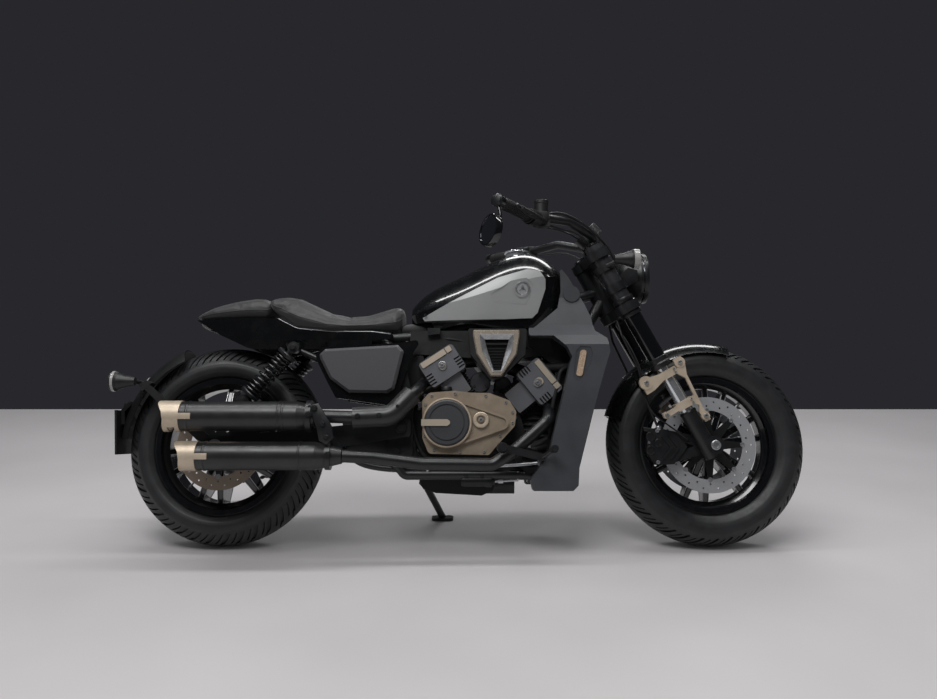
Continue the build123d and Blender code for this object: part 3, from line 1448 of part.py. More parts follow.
# ---------------------------------------------------------------- rear mudguard, plate and lamps
def on_hugger(angle, out):
    """x and z of a place by the rear mudguard's crown, at an angle above forward."""
    return wheel_point(angle, hugger_r + out)


plate_x, plate_z = on_hugger(161.8, 11)  # top of the plate bracket
plate_slope = 12 / 138
with BuildPart() as rear_hugger:
    mudguard(rear_hub, hugger_r, hugger_side_r, hugger_half, 5, hugger_front, hugger_arc)
    for hand in (-1, 1):
        y_out = hand * (arm_y - arm_t / 2 + 6)
        foot = [(rear_axle_x - 28, rear_axle_z + 33), (rear_axle_x - 42, rear_axle_z - 1)]
        stay = [on_hugger(143.3, -25.6), on_hugger(139.9, -39)] + foot
        slab(stay, hand * (arm_y - arm_t / 2 - 1), y_out, 4)
        lug = [on_hugger(143.6, -26), on_hugger(139.5, -35), on_hugger(138, -55), on_hugger(145.6, -49)]
        slab(lug, hand * 93, y_out)
    hanger = [
        on_hugger(156.1, -1.6),
        (plate_x, plate_z),
        (plate_x + 44 * plate_slope, plate_z - 44),
        (plate_x + 16, plate_z - 44),
        (plate_x + 12, plate_z - 4),
        on_hugger(157.6, -12),
    ]
    slab(hanger, -60, 60)
    add(swingarm.part, mode=Mode.SUBTRACT)
finish(rear_hugger, "rear_hugger")

with BuildPart() as plate_bracket:
    edge_x = plate_x + 138 * plate_slope
    edge_z = plate_z - 138
    slab([(plate_x - 6, plate_z), (plate_x, plate_z), (edge_x, edge_z), (edge_x - 6, edge_z)], -95, 95)
    add(rear_hugger.part, mode=Mode.SUBTRACT)
finish(plate_bracket, "plate_bracket")

with BuildPart() as rear_lamps:
    stem_x, stem_z = on_hugger(143.9, -8.6)
    for hand in (-1, 1):
        lathe((stem_x, hand * 150, stem_z), lamp_cone, -1)
        tube(14, 0, (stem_x, hand * 46, stem_z), (stem_x, hand * 150, stem_z))
    add(rear_hugger.part, mode=Mode.SUBTRACT)
finish(rear_lamps, "rear_lamps")

# ---------------------------------------------------------------- final drive
chain_y = rear_hub_half + sprocket_t / 2


def chain_loop(y_to, extra):
    """The closed run round both sprockets, grown or shrunk by a margin."""
    with BuildSketch(side(y_to)) as loop:
        with Locations((rear_axle_x, rear_axle_z)):
            Circle(sprocket_d / 2 + chain_h + extra)
        with Locations((drive_x, drive_z)):
            Circle(drive_sprocket_d / 2 + chain_h / 2 + extra)
        make_hull()
    return loop.sketch


chain_out = chain_y + chain_w / 2
pitch_line = chain_loop(chain_out, 0).faces()[0].outer_wire()
link_count = 2 * round(pitch_line.length / link_pitch / 2)
pins = [pitch_line.position_at(n / link_count) for n in range(link_count)]
with BuildPart() as drive_chain:
    with BuildSketch(side(chain_out)) as plates:
        add(chain_loop(chain_out, 0.3 * chain_h))
        add(chain_loop(chain_out, -0.3 * chain_h), mode=Mode.SUBTRACT)
        with Locations(*[(pin.X, pin.Z) for pin in pins]):
            Circle(chain_h / 2)
    extrude(plates.sketch, amount=chain_w)
finish(drive_chain, "drive_chain")

with BuildPart() as drive_sprocket:
    disc(Plane(origin=(drive_x, case_half, drive_z), z_dir=(0, 1, 0)), drive_sprocket_d, 26)
finish(drive_sprocket, "drive_sprocket")

# ---------------------------------------------------------------- foot controls
with BuildPart() as foot_controls:
    for hand in (-1, 1):
        bracket = [(138, 306), (165, 318), (238, 292), (276, 302), (292, 284), (276, 262), (250, 250)]
        bracket += [(226, 232), (190, 228), (160, 252)]
        slab(bracket, hand * (down_y + 6), hand * (down_y + 18), 6)
        opening = [(172, 294), (226, 274), (214, 252), (190, 250), (174, 264)]
        slab(opening, hand * (down_y + 5), hand * (down_y + 19), 4, mode=Mode.SUBTRACT)
        tube(18, 0, (228, hand * down_y, 279), (228, hand * 216, 279))
        arm = [(236, 268), (236, 290), (104, 322), (94, 300)]
        slab(arm, hand * 206, hand * 216, 5)
        tube(26, 0, (106, hand * 212, 309), (106, hand * 302, 312))
        tube(12, 0, (228, hand * 212, 281), (262, hand * 236, 306))
        tube(20, 0, (258, hand * 228, 304), (262, hand * 268, 308))
    add(frame.part, mode=Mode.SUBTRACT)
finish(foot_controls, "foot_controls")

# ---------------------------------------------------------------- side stand
with BuildPart() as side_stand:
    disc(stand_hinge.offset(-stand_head_t / 2), stand_head_d, stand_head_t)
    with BuildSketch(Plane(origin=stand_pivot + stand_leg * 22, z_dir=stand_leg)) as shaft:
        Circle(stand_d / 2)
    extrude(shaft.sketch, amount=(heel - stand_pivot).length - 22)
    neck = Plane(origin=stand_pivot, x_dir=stand_leg, z_dir=stand_axis)
    with BuildSketch(neck.offset(-stand_head_t / 2)) as web:
        with Locations((16, 0)):
            Rectangle(32, stand_d)
    extrude(web.sketch, amount=stand_head_t)
    spot = ground.to_local_coords(heel)
    with BuildSketch(Plane(ground.location * Location((spot.X, spot.Y, 0)))) as pad:
        Rectangle(stand_pad[0], stand_pad[1])
        fillet(pad.vertices(), 16)
    extrude(pad.sketch, amount=stand_pad[2])
    disc(stand_hinge.offset(-stand_head_t), stand_pin_d + 2 * fit, 2 * stand_head_t, mode=Mode.SUBTRACT)
    below = Plane(ground.location * Location((spot.X, spot.Y, -100)))
    with BuildSketch(below) as floor_cut:
        Rectangle(300, 300)
    extrude(floor_cut.sketch, amount=100, mode=Mode.SUBTRACT)
finish(side_stand, "side_stand")

# ---------------------------------------------------------------- lean, centre and write
box = Compound(children=[piece.moved(leaned) for piece in pieces]).bounding_box()
parked = Location((-box.center().X, -box.center().Y, 0)) * leaned
for piece in pieces:
    stood = piece.moved(parked)
    stood.label = piece.label
    export_step(stood, f"parts/{piece.label}.step")
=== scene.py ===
"""Looks of the cruiser motorcycle: finishes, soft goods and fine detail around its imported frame.

Pieces are modelled with the machine upright, in millimetres: x forward, y to the rider's left, z up.
MACHINE takes them to where the machine leans on its side stand, in metres.
"""

import json
from math import atan2, cos, pi, radians, sin, sqrt

import bmesh
import bpy
from mathutils import Matrix, Vector
from mathutils.bvhtree import BVHTree


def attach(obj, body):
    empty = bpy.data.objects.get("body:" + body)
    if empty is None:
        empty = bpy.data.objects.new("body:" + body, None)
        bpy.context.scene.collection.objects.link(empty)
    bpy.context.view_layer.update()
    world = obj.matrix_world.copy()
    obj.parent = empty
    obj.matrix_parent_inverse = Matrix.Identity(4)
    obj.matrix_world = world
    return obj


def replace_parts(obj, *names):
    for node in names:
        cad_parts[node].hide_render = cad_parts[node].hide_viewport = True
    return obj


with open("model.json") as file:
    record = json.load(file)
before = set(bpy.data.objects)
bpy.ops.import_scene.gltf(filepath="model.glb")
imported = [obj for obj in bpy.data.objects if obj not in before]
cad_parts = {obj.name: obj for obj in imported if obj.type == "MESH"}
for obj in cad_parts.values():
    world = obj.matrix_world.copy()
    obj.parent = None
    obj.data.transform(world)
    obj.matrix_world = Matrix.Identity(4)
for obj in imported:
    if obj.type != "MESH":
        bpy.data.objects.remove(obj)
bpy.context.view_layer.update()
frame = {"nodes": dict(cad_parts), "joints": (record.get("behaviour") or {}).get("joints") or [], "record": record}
nodes = frame["nodes"]

# ---------------------------------------------------------------- places
SIDES = (-1, 1)  # the machine's right and left
AHEAD = (1, 0, 0)
LEFTWARD = (0, 1, 0)
RIGHTWARD = (0, -1, 0)
UP = (0, 0, 1)
joints = {joint["name"]: joint for joint in frame["joints"]}
FRONT_AXLE = Vector((0.770, 0, 0.316))  # with the machine upright
REAR_AXLE = Vector((-0.770, 0, 0.313))
across = Vector(joints["front_wheel_spin"]["axis"])
lean = Matrix.Rotation(-atan2(-across.z, across.y), 4, "X")
upright = Matrix.Translation(Vector(joints["front_wheel_spin"]["pos_m"]) - lean @ FRONT_AXLE) @ lean
MACHINE = upright @ Matrix.Scale(0.001, 4)  # from mm on the upright machine to where it stands
RAKE = radians(28.2)
STEER_FOOT = Vector((718.9, 0, 288.6))  # where the steering axis passes below the front axle
STEER = Matrix.Translation(STEER_FOOT) @ Matrix.Rotation(-RAKE, 4, "Y")
LOWER_YOKE = 498  # its middle, along the steering axis

# ---------------------------------------------------------------- camera
FOCAL_PX = 836
FRAME_PX = (937, 699)
HORIZON_PX = 273
EYE_HEIGHT = 0.870
EYE_DISTANCE = 2.659  # from the line on which the tyres stand
EYE_AHEAD = 0.0066  # of the middle of the wheelbase

camera_data = bpy.data.cameras.new("camera")
camera = bpy.data.objects.new("camera", camera_data)
bpy.context.scene.collection.objects.link(camera)
camera_data.sensor_width = 36
camera_data.lens = FOCAL_PX / FRAME_PX[0] * camera_data.sensor_width
camera_data.shift_y = (HORIZON_PX - FRAME_PX[1] / 2) / FRAME_PX[0]
stands_on = upright.translation
camera.location = (stands_on.x + EYE_AHEAD, stands_on.y - EYE_DISTANCE, EYE_HEIGHT)
camera.rotation_euler = (pi / 2, 0, 0)
bpy.context.scene.camera = camera


# ---------------------------------------------------------------- finishes
def linear(colour):
    """The linear colour that shaders take, from an sRGB hex value."""
    channels = [int(colour[i : i + 2], 16) / 255 for i in (0, 2, 4)]
    return tuple(c / 12.92 if c <= 0.04045 else ((c + 0.055) / 1.055) ** 2.4 for c in channels) + (1,)


def put(tree, kind, inputs=None, **settings):
    """Adds a shader node with its settings; an input is a value or another node's socket."""
    added = tree.nodes.new(kind)
    for name, value in settings.items():
        setattr(added, name, value)
    for socket, value in (inputs or {}).items():
        if isinstance(value, bpy.types.NodeSocket):
            tree.links.new(value, added.inputs[socket])
        else:
            added.inputs[socket].default_value = value
    return added


def surface(name, colour, roughness, metallic=0.0, **sockets):
    """A material with one shader, to which each finish adds its own texture."""
    material = bpy.data.materials.new(name)
    material.use_nodes = True
    tree = material.node_tree
    tree.nodes.clear()
    values = {"Base Color": linear(colour), "Roughness": roughness, "Metallic": metallic}
    values.update({socket.replace("_", " "): value for socket, value in sockets.items()})
    shader = put(tree, "ShaderNodeBsdfPrincipled", values)
    put(tree, "ShaderNodeOutputMaterial", {"Surface": shader.outputs["BSDF"]})
    material.diffuse_color = linear(colour)
    return material, tree, shader


def noise(tree, size_mm, detail=3.0, stretch=None):
    """Smooth noise whose lumps are about the given size."""
    where = put(tree, "ShaderNodeTexCoord").outputs["Object"]
    if stretch:
        where = put(tree, "ShaderNodeMapping", {"Vector": where, "Scale": stretch}).outputs["Vector"]
    settings = {"Vector": where, "Scale": 1000 / size_mm, "Detail": detail, "Roughness": 0.55}
    return put(tree, "ShaderNodeTexNoise", settings).outputs["Fac"]


def relief(tree, shader, height, depth_mm, strength=1.0):
    """Turns a height into bump on the shader."""
    inputs = {"Height": height, "Distance": depth_mm / 1000, "Strength": strength}
    bump = put(tree, "ShaderNodeBump", inputs)
    tree.links.new(bump.outputs["Normal"], shader.inputs["Normal"])
    return bump


def between(tree, shader, socket, fac, low, high, start=0.3, end=0.7):
    """Lets a number or a colour of the shader vary between two values."""
    if isinstance(low, str):
        ramp = put(tree, "ShaderNodeValToRGB", {"Fac": fac})
        ramp.color_ramp.elements[0].position = start
        ramp.color_ramp.elements[1].position = end
        ramp.color_ramp.elements[0].color = linear(low)
        ramp.color_ramp.elements[1].color = linear(high)
        tree.links.new(ramp.outputs["Color"], shader.inputs[socket])
        return
    inputs = {"Value": fac, "From Min": start, "From Max": end, "To Min": low, "To Max": high}
    spread = put(tree, "ShaderNodeMapRange", inputs)
    tree.links.new(spread.outputs["Result"], shader.inputs[socket])


def machine_axes(tree):
    """The upright machine's x, y and z, in metres."""
    where = put(tree, "ShaderNodeTexCoord").outputs["Object"]
    back = upright.inverted()
    settings = {"Vector": where, "Rotation": tuple(back.to_euler()), "Location": tuple(back.translation)}
    stood = put(tree, "ShaderNodeMapping", settings).outputs["Vector"]
    return put(tree, "ShaderNodeSeparateXYZ", {"Vector": stood}).outputs


def sideways(tree):
    """Distance from the machine's middle plane."""
    away = put(tree, "ShaderNodeMath", {0: machine_axes(tree)["Y"]}, operation="ABSOLUTE")
    return away.outputs["Value"]


def from_axle(tree, axle):
    """Distance from an axle."""
    axes = machine_axes(tree)
    ahead = put(tree, "ShaderNodeMath", {0: axes["X"], 1: axle.x}, operation="SUBTRACT").outputs["Value"]
    above = put(tree, "ShaderNodeMath", {0: axes["Z"], 1: axle.z}, operation="SUBTRACT").outputs["Value"]
    spoke = put(tree, "ShaderNodeCombineXYZ", {"X": ahead, "Y": above}).outputs["Vector"]
    return put(tree, "ShaderNodeVectorMath", {0: spoke}, operation="LENGTH").outputs["Value"]


PAINT_EDGE = 0.0002  # half the width of the line between two paints, in metres


def divide(tree, shader, fac, edge, inside, outside):
    """Two finishes with a sharp line between them: each is a colour, a roughness and a metallic value."""
    span = {"Value": fac, "From Min": edge - PAINT_EDGE, "From Max": edge + PAINT_EDGE}
    step = put(tree, "ShaderNodeMapRange", span)
    for socket, low, high in zip(("Base Color", "Roughness", "Metallic"), inside, outside):
        between(tree, shader, socket, step.outputs["Result"], low, high, 0.0, 1.0)


def lacquered_black():
    """Clear-coated black paint: mirror gloss with a faint orange peel."""
    material, tree, shader = surface(
        "lacquered_black", "08090A", 0.3, Specular_IOR_Level=0.2, Coat_Weight=0.9, Coat_Roughness=0.03
    )
    between(tree, shader, "Roughness", noise(tree, 30), 0.2, 0.32)
    relief(tree, shader, noise(tree, 5, 1), 0.006, 0.06)
    return material


def lacquered_silver():
    """Silver paint with metal flakes under satin lacquer, black on its lower return edge."""
    material, tree, shader = surface(
        "lacquered_silver", "A9A9A9", 0.5, 0.15, Coat_Weight=0.12, Coat_Roughness=0.2
    )
    flakes = noise(tree, 1.2, 1)  # coarser than the real flakes, so that they show
    edge = 0.7087  # height at which the panel turns under the tank
    divide(tree, shader, machine_axes(tree)["Z"], edge, ("0A0B0C", 0.3, 0.0), ("949595", 0.5, 0.15))
    between(tree, shader, "Coat Roughness", flakes, 0.15, 0.28)
    relief(tree, shader, flakes, 0.01, 0.3)
    return material


def graphite_paint():
    """Dark grey metallic lacquer."""
    material, tree, shader = surface(
        "graphite_paint", "565558", 0.36, 0.4, Coat_Weight=0.8, Coat_Roughness=0.06
    )
    between(tree, shader, "Base Color", noise(tree, 1.2, 1), "504F52", "5C5B5E", 0.35, 0.65)
    relief(tree, shader, noise(tree, 5, 1), 0.02, 0.2)
    return material


def powder_coat():
    """Satin black powder coat: even, with a fine pebbled skin."""
    material, tree, shader = surface("powder_coat", "141517", 0.38)
    between(tree, shader, "Roughness", noise(tree, 25), 0.32, 0.44)
    relief(tree, shader, noise(tree, 1.6, 2), 0.05, 0.35)
    return material


def gloss_enamel():
    """Gloss black stove enamel on cast wheels and fork tubes."""
    material, tree, shader = surface("gloss_enamel", "0B0C0E", 0.16, Coat_Weight=0.6, Coat_Roughness=0.05)
    between(tree, shader, "Roughness", noise(tree, 18), 0.12, 0.26)
    relief(tree, shader, noise(tree, 3, 2), 0.04, 0.3)
    return material


def heatproof_black():
    """Ceramic-filled matt black on the exhaust: dry, slightly patchy."""
    material, tree, shader = surface("heatproof_black", "1C1C1D", 0.36, Specular_IOR_Level=0.5)
    between(tree, shader, "Roughness", noise(tree, 40, 5), 0.3, 0.42)
    between(tree, shader, "Base Color", noise(tree, 60, 4), "19191A", "202021")
    relief(tree, shader, noise(tree, 0.9, 2), 0.03, 0.4)
    return material


def bronze_anodising(name="bronze_anodising", low="AC9D8A", high="BFB09D"):
    """Bronze anodised aluminium over a fine blasted grain."""
    material, tree, shader = surface(name, high, 0.42, 0.42)
    between(tree, shader, "Base Color", noise(tree, 35, 4), low, high)
    between(tree, shader, "Roughness", noise(tree, 12, 3), 0.36, 0.5)
    relief(tree, shader, noise(tree, 0.8, 2), 0.03, 0.35)
    return material


def chrome():
    """Hard chrome on the fork's sliding tubes."""
    material, tree, shader = surface("chrome", "D9DCDF", 0.12, 0.85)
    between(tree, shader, "Roughness", noise(tree, 20, 4, (1, 1, 0.1)), 0.1, 0.16)
    return material


def turned_steel():
    """Ground stainless steel: a close grain with soft streaks."""
    material, tree, shader = surface("turned_steel", "B0B1B3", 0.34, 0.8)
    between(tree, shader, "Base Color", noise(tree, 8, 5), "9A9B9D", "C2C3C5")
    between(tree, shader, "Roughness", noise(tree, 2, 3), 0.26, 0.4)
    relief(tree, shader, noise(tree, 0.7, 2), 0.02, 0.3)
    return material


def cast_grey():
    """Sand-cast aluminium painted dark grey: a dull skin of small grains."""
    material, tree, shader = surface("cast_grey", "3B3C3F", 0.55, 0.35)
    between(tree, shader, "Base Color", noise(tree, 30, 5), "34353A", "434447")
    between(tree, shader, "Roughness", noise(tree, 6, 3), 0.48, 0.62)
    relief(tree, shader, noise(tree, 1.0, 3), 0.09, 0.5)
    return material


def cast_black():
    """Black crackle on the crankcase and barrels."""
    material, tree, shader = surface("cast_black", "141517", 0.5, 0.2)
    between(tree, shader, "Roughness", noise(tree, 10, 4), 0.4, 0.6)
    relief(tree, shader, noise(tree, 1.1, 3), 0.12, 0.6)
    return material


def charcoal_moulding():
    """Grained polypropylene of the radiator's shrouds: matt, with a leathery tooth."""
    material, tree, shader = surface("charcoal_moulding", "303236", 0.5)
    between(tree, shader, "Base Color", noise(tree, 80, 3), "2B2D31", "35373B")
    relief(tree, shader, noise(tree, 0.9, 2), 0.05, 0.4)
    return material


def black_moulding():
    """Black ABS with a fine spark-eroded texture."""
    material, tree, shader = surface("black_moulding", "0F1011", 0.48)
    between(tree, shader, "Roughness", noise(tree, 25, 3), 0.42, 0.56)
    relief(tree, shader, noise(tree, 0.8, 2), 0.04, 0.4)
    return material


def tyre_compound():
    """Road tyre rubber: dull black, greyer where the mould left a bloom."""
    # The base colour 1A1C20 is the rubber's black, lifted and tinted blue-grey as a painted sheen; the ramp below
    # sets the colour that renders.
    material, tree, shader = surface("tyre_compound", "1A1C20", 0.5, Specular_IOR_Level=0.55)
    between(tree, shader, "Base Color", noise(tree, 45, 5), "131416", "1E1F21")
    between(tree, shader, "Roughness", noise(tree, 20, 4), 0.44, 0.58)
    relief(tree, shader, noise(tree, 0.9, 2), 0.05, 0.4)
    return material


def soft_rubber():
    """Matt rubber of the grips, pegs and hoses."""
    material, tree, shader = surface("soft_rubber", "101011", 0.7)
    between(tree, shader, "Roughness", noise(tree, 15, 3), 0.62, 0.78)
    relief(tree, shader, noise(tree, 0.8, 2), 0.04, 0.4)
    return material


def seat_vinyl():
    """Grained black seat vinyl: small pebbles between fine creases, with a slight sheen."""
    material, tree, shader = surface("seat_vinyl", "18181A", 0.56, Sheen_Weight=0.15, Sheen_Roughness=0.5)
    where = put(tree, "ShaderNodeTexCoord").outputs["Object"]
    pebbles = put(
        tree, "ShaderNodeTexVoronoi", {"Vector": where, "Scale": 1000 / 1.8}, feature="DISTANCE_TO_EDGE"
    )
    between(tree, shader, "Base Color", noise(tree, 70, 4), "151517", "1D1D1F")
    between(tree, shader, "Roughness", noise(tree, 30, 3), 0.5, 0.62)
    relief(tree, shader, pebbles.outputs["Distance"], 0.12, 0.5)
    return material


def clear_cover():
    """Clear polycarbonate of the lamps."""
    material, tree, shader = surface("clear_cover", "F2F4F5", 0.04, Transmission_Weight=0.9, IOR=1.58)
    between(tree, shader, "Roughness", noise(tree, 15, 2), 0.02, 0.07)
    return material


def chain_steel():
    """Oiled chain steel."""
    material, tree, shader = surface("chain_steel", "4C4A47", 0.4, 0.9)
    between(tree, shader, "Base Color", noise(tree, 6, 4), "3A3937", "6A6762")
    relief(tree, shader, noise(tree, 1, 2), 0.03, 0.3)
    return material


def banded_head_paint():
    """Dark grey paint on the cast covers, with the raised bands machined and bronze anodised."""
    material, tree, shader = surface("banded_head_paint", "5A5B5F", 0.5, 0.35)
    bands = 0.1284  # distance out at which the raised bands start
    divide(tree, shader, sideways(tree), bands, ("5A5B5F", 0.5, 0.25), ("B8AB9A", 0.36, 0.4))
    relief(tree, shader, noise(tree, 1.0, 3), 0.06, 0.45)
    return material


def capped_clutch_paint():
    """Satin black cap with a bronze bar across it."""
    material, tree, shader = surface("capped_clutch_paint", "1A1B1D", 0.42, 0.3)
    bar = 0.1763  # distance out at which the bar stands off the cap
    divide(tree, shader, sideways(tree), bar, ("3A3B3E", 0.42, 0.2), ("BDB19F", 0.34, 0.5))
    relief(tree, shader, noise(tree, 0.9, 2), 0.04, 0.35)
    return material


GRINDING = 2600  # radians a metre, which puts the marks 2.4 mm apart, coarser than real ones to show


def disc_steel(name, axle, band_in, low, high):
    """Ground steel brake disc on a black carrier, with concentric grinding marks."""
    material, tree, shader = surface(name, high, 0.34, 0.6)
    away = from_axle(tree, axle)
    divide(tree, shader, away, band_in, ("0E0F10", 0.4, 0.0), (high, 0.34, 0.6))
    rings = put(tree, "ShaderNodeMath", {0: away, 1: GRINDING}, operation="MULTIPLY").outputs["Value"]
    wave = put(tree, "ShaderNodeMath", {0: rings}, operation="SINE").outputs["Value"]
    relief(tree, shader, wave, 0.01, 0.35)
    return material


def fork_enamel():
    """Fork tubes: matt black between the yokes, gloss black below them."""
    material, tree, shader = surface("fork_enamel", "0C0D0F", 0.2, Coat_Weight=0.3, Coat_Roughness=0.05)
    axes = machine_axes(tree)
    place = put(tree, "ShaderNodeCombineXYZ", {"X": axes["X"], "Z": axes["Z"]}).outputs["Vector"]
    rise = put(
        tree, "ShaderNodeVectorMath", {0: place, 1: (-sin(RAKE), 0, cos(RAKE))}, operation="DOT_PRODUCT"
    ).outputs["Value"]
    edge = (STEER_FOOT @ Vector((-sin(RAKE), 0, cos(RAKE))) + LOWER_YOKE) / 1000
    divide(tree, shader, rise, edge, ("0A0B0D", 0.14, 0.0), ("1B1C1F", 0.5, 0.0))
    relief(tree, shader, noise(tree, 2, 2), 0.03, 0.25)
    return material


def bright_bronze():
    """Polished and tinted aluminium round the air intake."""
    material, tree, shader = surface("bright_bronze", "BCB0A0", 0.26, 0.6)
    between(tree, shader, "Roughness", noise(tree, 18, 3), 0.18, 0.3)
    relief(tree, shader, noise(tree, 3, 2), 0.02, 0.2)
    return material


def reflector_plastic():
    """Clear acrylic over a beige prismatic back."""
    material, tree, shader = surface(
        "reflector_plastic", "B39C86", 0.12, Coat_Weight=1.0, Coat_Roughness=0.03
    )
    where = put(tree, "ShaderNodeTexCoord").outputs["Object"]
    prisms = put(tree, "ShaderNodeTexVoronoi", {"Vector": where, "Scale": 1000 / 3.0}, distance="MANHATTAN")
    between(tree, shader, "Base Color", prisms.outputs["Distance"], "C4AE98", "8F7B68", 0.1, 0.8)
    relief(tree, shader, prisms.outputs["Distance"], 0.2, 0.5)
    return material


def lamp_glass():
    """Frosted acrylic of the indicators, fluted round the lamp."""
    material, tree, shader = surface("lamp_glass", "9E9D9A", 0.16, Transmission_Weight=0.25, IOR=1.49)
    between(tree, shader, "Base Color", noise(tree, 6, 2), "949390", "A8A7A4")
    relief(tree, shader, noise(tree, 2.5, 1), 0.1, 0.4)
    return material


def mirror_silvering():
    """Silvered convex glass of the mirrors."""
    material, tree, shader = surface("mirror_silvering", "A9AEB4", 0.03, 1.0)
    between(tree, shader, "Roughness", noise(tree, 25, 2), 0.02, 0.05)
    return material


def screen_glass():
    """Dark bonded glass over the instrument's display."""
    material, tree, shader = surface("screen_glass", "0A0C10", 0.06, Coat_Weight=0.2, Coat_Roughness=0.1)
    between(tree, shader, "Roughness", noise(tree, 20, 2), 0.04, 0.1)
    return material


def braided_line():
    """Black-jacketed brake line: matt, with a faint braid."""
    material, tree, shader = surface("braided_line", "121214", 0.5)
    relief(tree, shader, noise(tree, 1.5, 1), 0.1, 0.5)
    between(tree, shader, "Roughness", noise(tree, 10, 3), 0.42, 0.58)
    return material


LACQUER = lacquered_black()
SILVER = lacquered_silver()
GRAPHITE = graphite_paint()
POWDER = powder_coat()
ENAMEL = gloss_enamel()
HEATPROOF = heatproof_black()
BRONZE = bronze_anodising()
COVER_BRONZE = bronze_anodising("dark_bronze_anodising", "877A6A", "988A78")
CHROME = chrome()
STEEL = turned_steel()
CAST_GREY = cast_grey()
CAST_BLACK = cast_black()
CHARCOAL = charcoal_moulding()
ABS = black_moulding()
TYRE = tyre_compound()
RUBBER = soft_rubber()
VINYL = seat_vinyl()
LENS = clear_cover()
CHAIN = chain_steel()
HEAD_PAINT = banded_head_paint()
CAP_PAINT = capped_clutch_paint()
FRONT_DISC = disc_steel("front_disc_steel", FRONT_AXLE, 0.1072, "9C9DA0", "B4B5B8")
REAR_DISC = disc_steel("rear_disc_steel", REAR_AXLE, 0.0922, "85796C", "9A8C7D")
FORK = fork_enamel()
BRIGHT_BRONZE = bright_bronze()
REFLECTOR = reflector_plastic()
LAMP_GLASS = lamp_glass()
MIRROR = mirror_silvering()
SCREEN = screen_glass()
BRAID = braided_line()

node_finish = {
    LACQUER: ["fuel_tank", "tail_cowl", "front_fender"],
    SILVER: ["tank_side_panels"],
    GRAPHITE: ["side_covers"],
    POWDER: [
        "frame", "swingarm", "yokes", "bar_risers", "exhaust_bracket", "foot_controls", "side_stand",
        "handlebar", "front_calipers", "exhaust_pipes", "fork_feet", "headlamp",
    ],
    ENAMEL: ["front_rim", "rear_rim", "bar_end_mirrors"],
    FORK: ["fork_outer_tubes"],
    HEATPROOF: ["upper_muffler", "lower_muffler", "heat_shield"],
    BRONZE: ["fork_clamps", "muffler_tips"],
    COVER_BRONZE: ["clutch_cover"],
    BRIGHT_BRONZE: ["intake_cover"],
    CHROME: ["fork_inner_tubes", "filler_cap"],
    STEEL: ["rear_sprocket", "drive_sprocket", "shock_springs"],
    FRONT_DISC: ["front_discs"],
    REAR_DISC: ["rear_disc"],
    HEAD_PAINT: ["head_covers"],
    CAP_PAINT: ["clutch_cap"],
    CAST_GREY: ["front_cylinder", "rear_cylinder"],
    CAST_BLACK: ["crankcase", "alternator_cover", "shocks"],
    CHARCOAL: ["radiator_shrouds"],
    REFLECTOR: ["shroud_inserts"],
    ABS: [
        "rear_hugger", "plate_bracket", "hand_controls", "gauge", "front_indicators", "rear_lamps",
        "radiator", "airbox",
    ],
    TYRE: ["front_tyre", "rear_tyre"],
    RUBBER: ["grips"],
    BRAID: ["brake_hoses"],
    VINYL: ["rider_seat", "pillion_pad"],
    LENS: ["headlamp_lens"],
    CHAIN: ["drive_chain"],
}
for material, names in node_finish.items():
    for name in names:
        nodes[name].data.materials.clear()
        nodes[name].data.materials.append(material)


# ---------------------------------------------------------------- making pieces
def keep(name, bm, body, material, sharp=35):
    """Closes a workpiece's seams, stands it in its place and lets it ride with a body."""
    bmesh.ops.remove_doubles(bm, verts=bm.verts, dist=0.005)
    bmesh.ops.recalc_face_normals(bm, faces=bm.faces)
    bm.transform(MACHINE)
    mesh = bpy.data.meshes.new(name)
    bm.to_mesh(mesh)
    bm.free()
    mesh.shade_smooth()
    mesh.set_sharp_from_angle(angle=radians(sharp))
    mesh.materials.append(material)
    piece = bpy.data.objects.new(name, mesh)
    bpy.context.scene.collection.objects.link(piece)
    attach(piece, body)
    return piece


def axis_frame(place, axis):
    """The frame at a place whose z runs along an axis."""
    return Matrix.Translation(place) @ Vector(axis).to_track_quat("Z", "Y").to_matrix().to_4x4()


def turned(profile, steps=32):
    """A workpiece spun about z from (height, radius) points."""
    bm = bmesh.new()
    verts = [bm.verts.new((radius, 0, height)) for height, radius in profile]
    edges = [bm.edges.new(pair) for pair in zip(verts, verts[1:])]
    bmesh.ops.spin(
        bm, geom=verts + edges, cent=(0, 0, 0), axis=(0, 0, 1), dvec=(0, 0, 0), angle=2 * pi, steps=steps,
        use_merge=True, use_normal_flip=False, use_duplicate=False,
    )
    bmesh.ops.remove_doubles(bm, verts=bm.verts, dist=0.001)
    return bm


def stamp(target, source, frames):
    """Copies a small workpiece into a larger one, once for each frame."""
    mesh = bpy.data.meshes.new("stamp")
    source.to_mesh(mesh)
    source.free()
    for place in frames:
        first = len(target.verts)
        target.from_mesh(mesh)
        target.verts.ensure_lookup_table()
        bmesh.ops.transform(target, matrix=place, verts=target.verts[first:])
    bpy.data.meshes.remove(mesh)


def join(target, source):
    """Adds a workpiece that is drawn in its place already."""
    stamp(target, source, [Matrix()])


def seat(target, source, place, axis):
    """Adds a workpiece at a place, its z along an axis."""
    stamp(target, source, [axis_frame(place, axis)])


def plate(points, y_from, y_to, edge=0.0):
    """A plate with a side view's outline, between two distances to the left, its rims bevelled."""
    bm = bmesh.new()
    face = bm.faces.new([bm.verts.new((x, y_from, z)) for x, z in points])
    grown = bmesh.ops.extrude_face_region(bm, geom=[face])["geom"]
    moved = [item for item in grown if isinstance(item, bmesh.types.BMVert)]
    bmesh.ops.translate(bm, vec=(0, y_to - y_from, 0), verts=moved)
    bmesh.ops.recalc_face_normals(bm, faces=bm.faces)
    if edge:
        bevel(bm, bm.edges, edge)
    return bm


def bevel(bm, edges, width, segments=2):
    """Rounds edges off."""
    bmesh.ops.bevel(
        bm, geom=list(edges), offset=width, affect="EDGES", segments=segments, profile=0.5, material=-1
    )


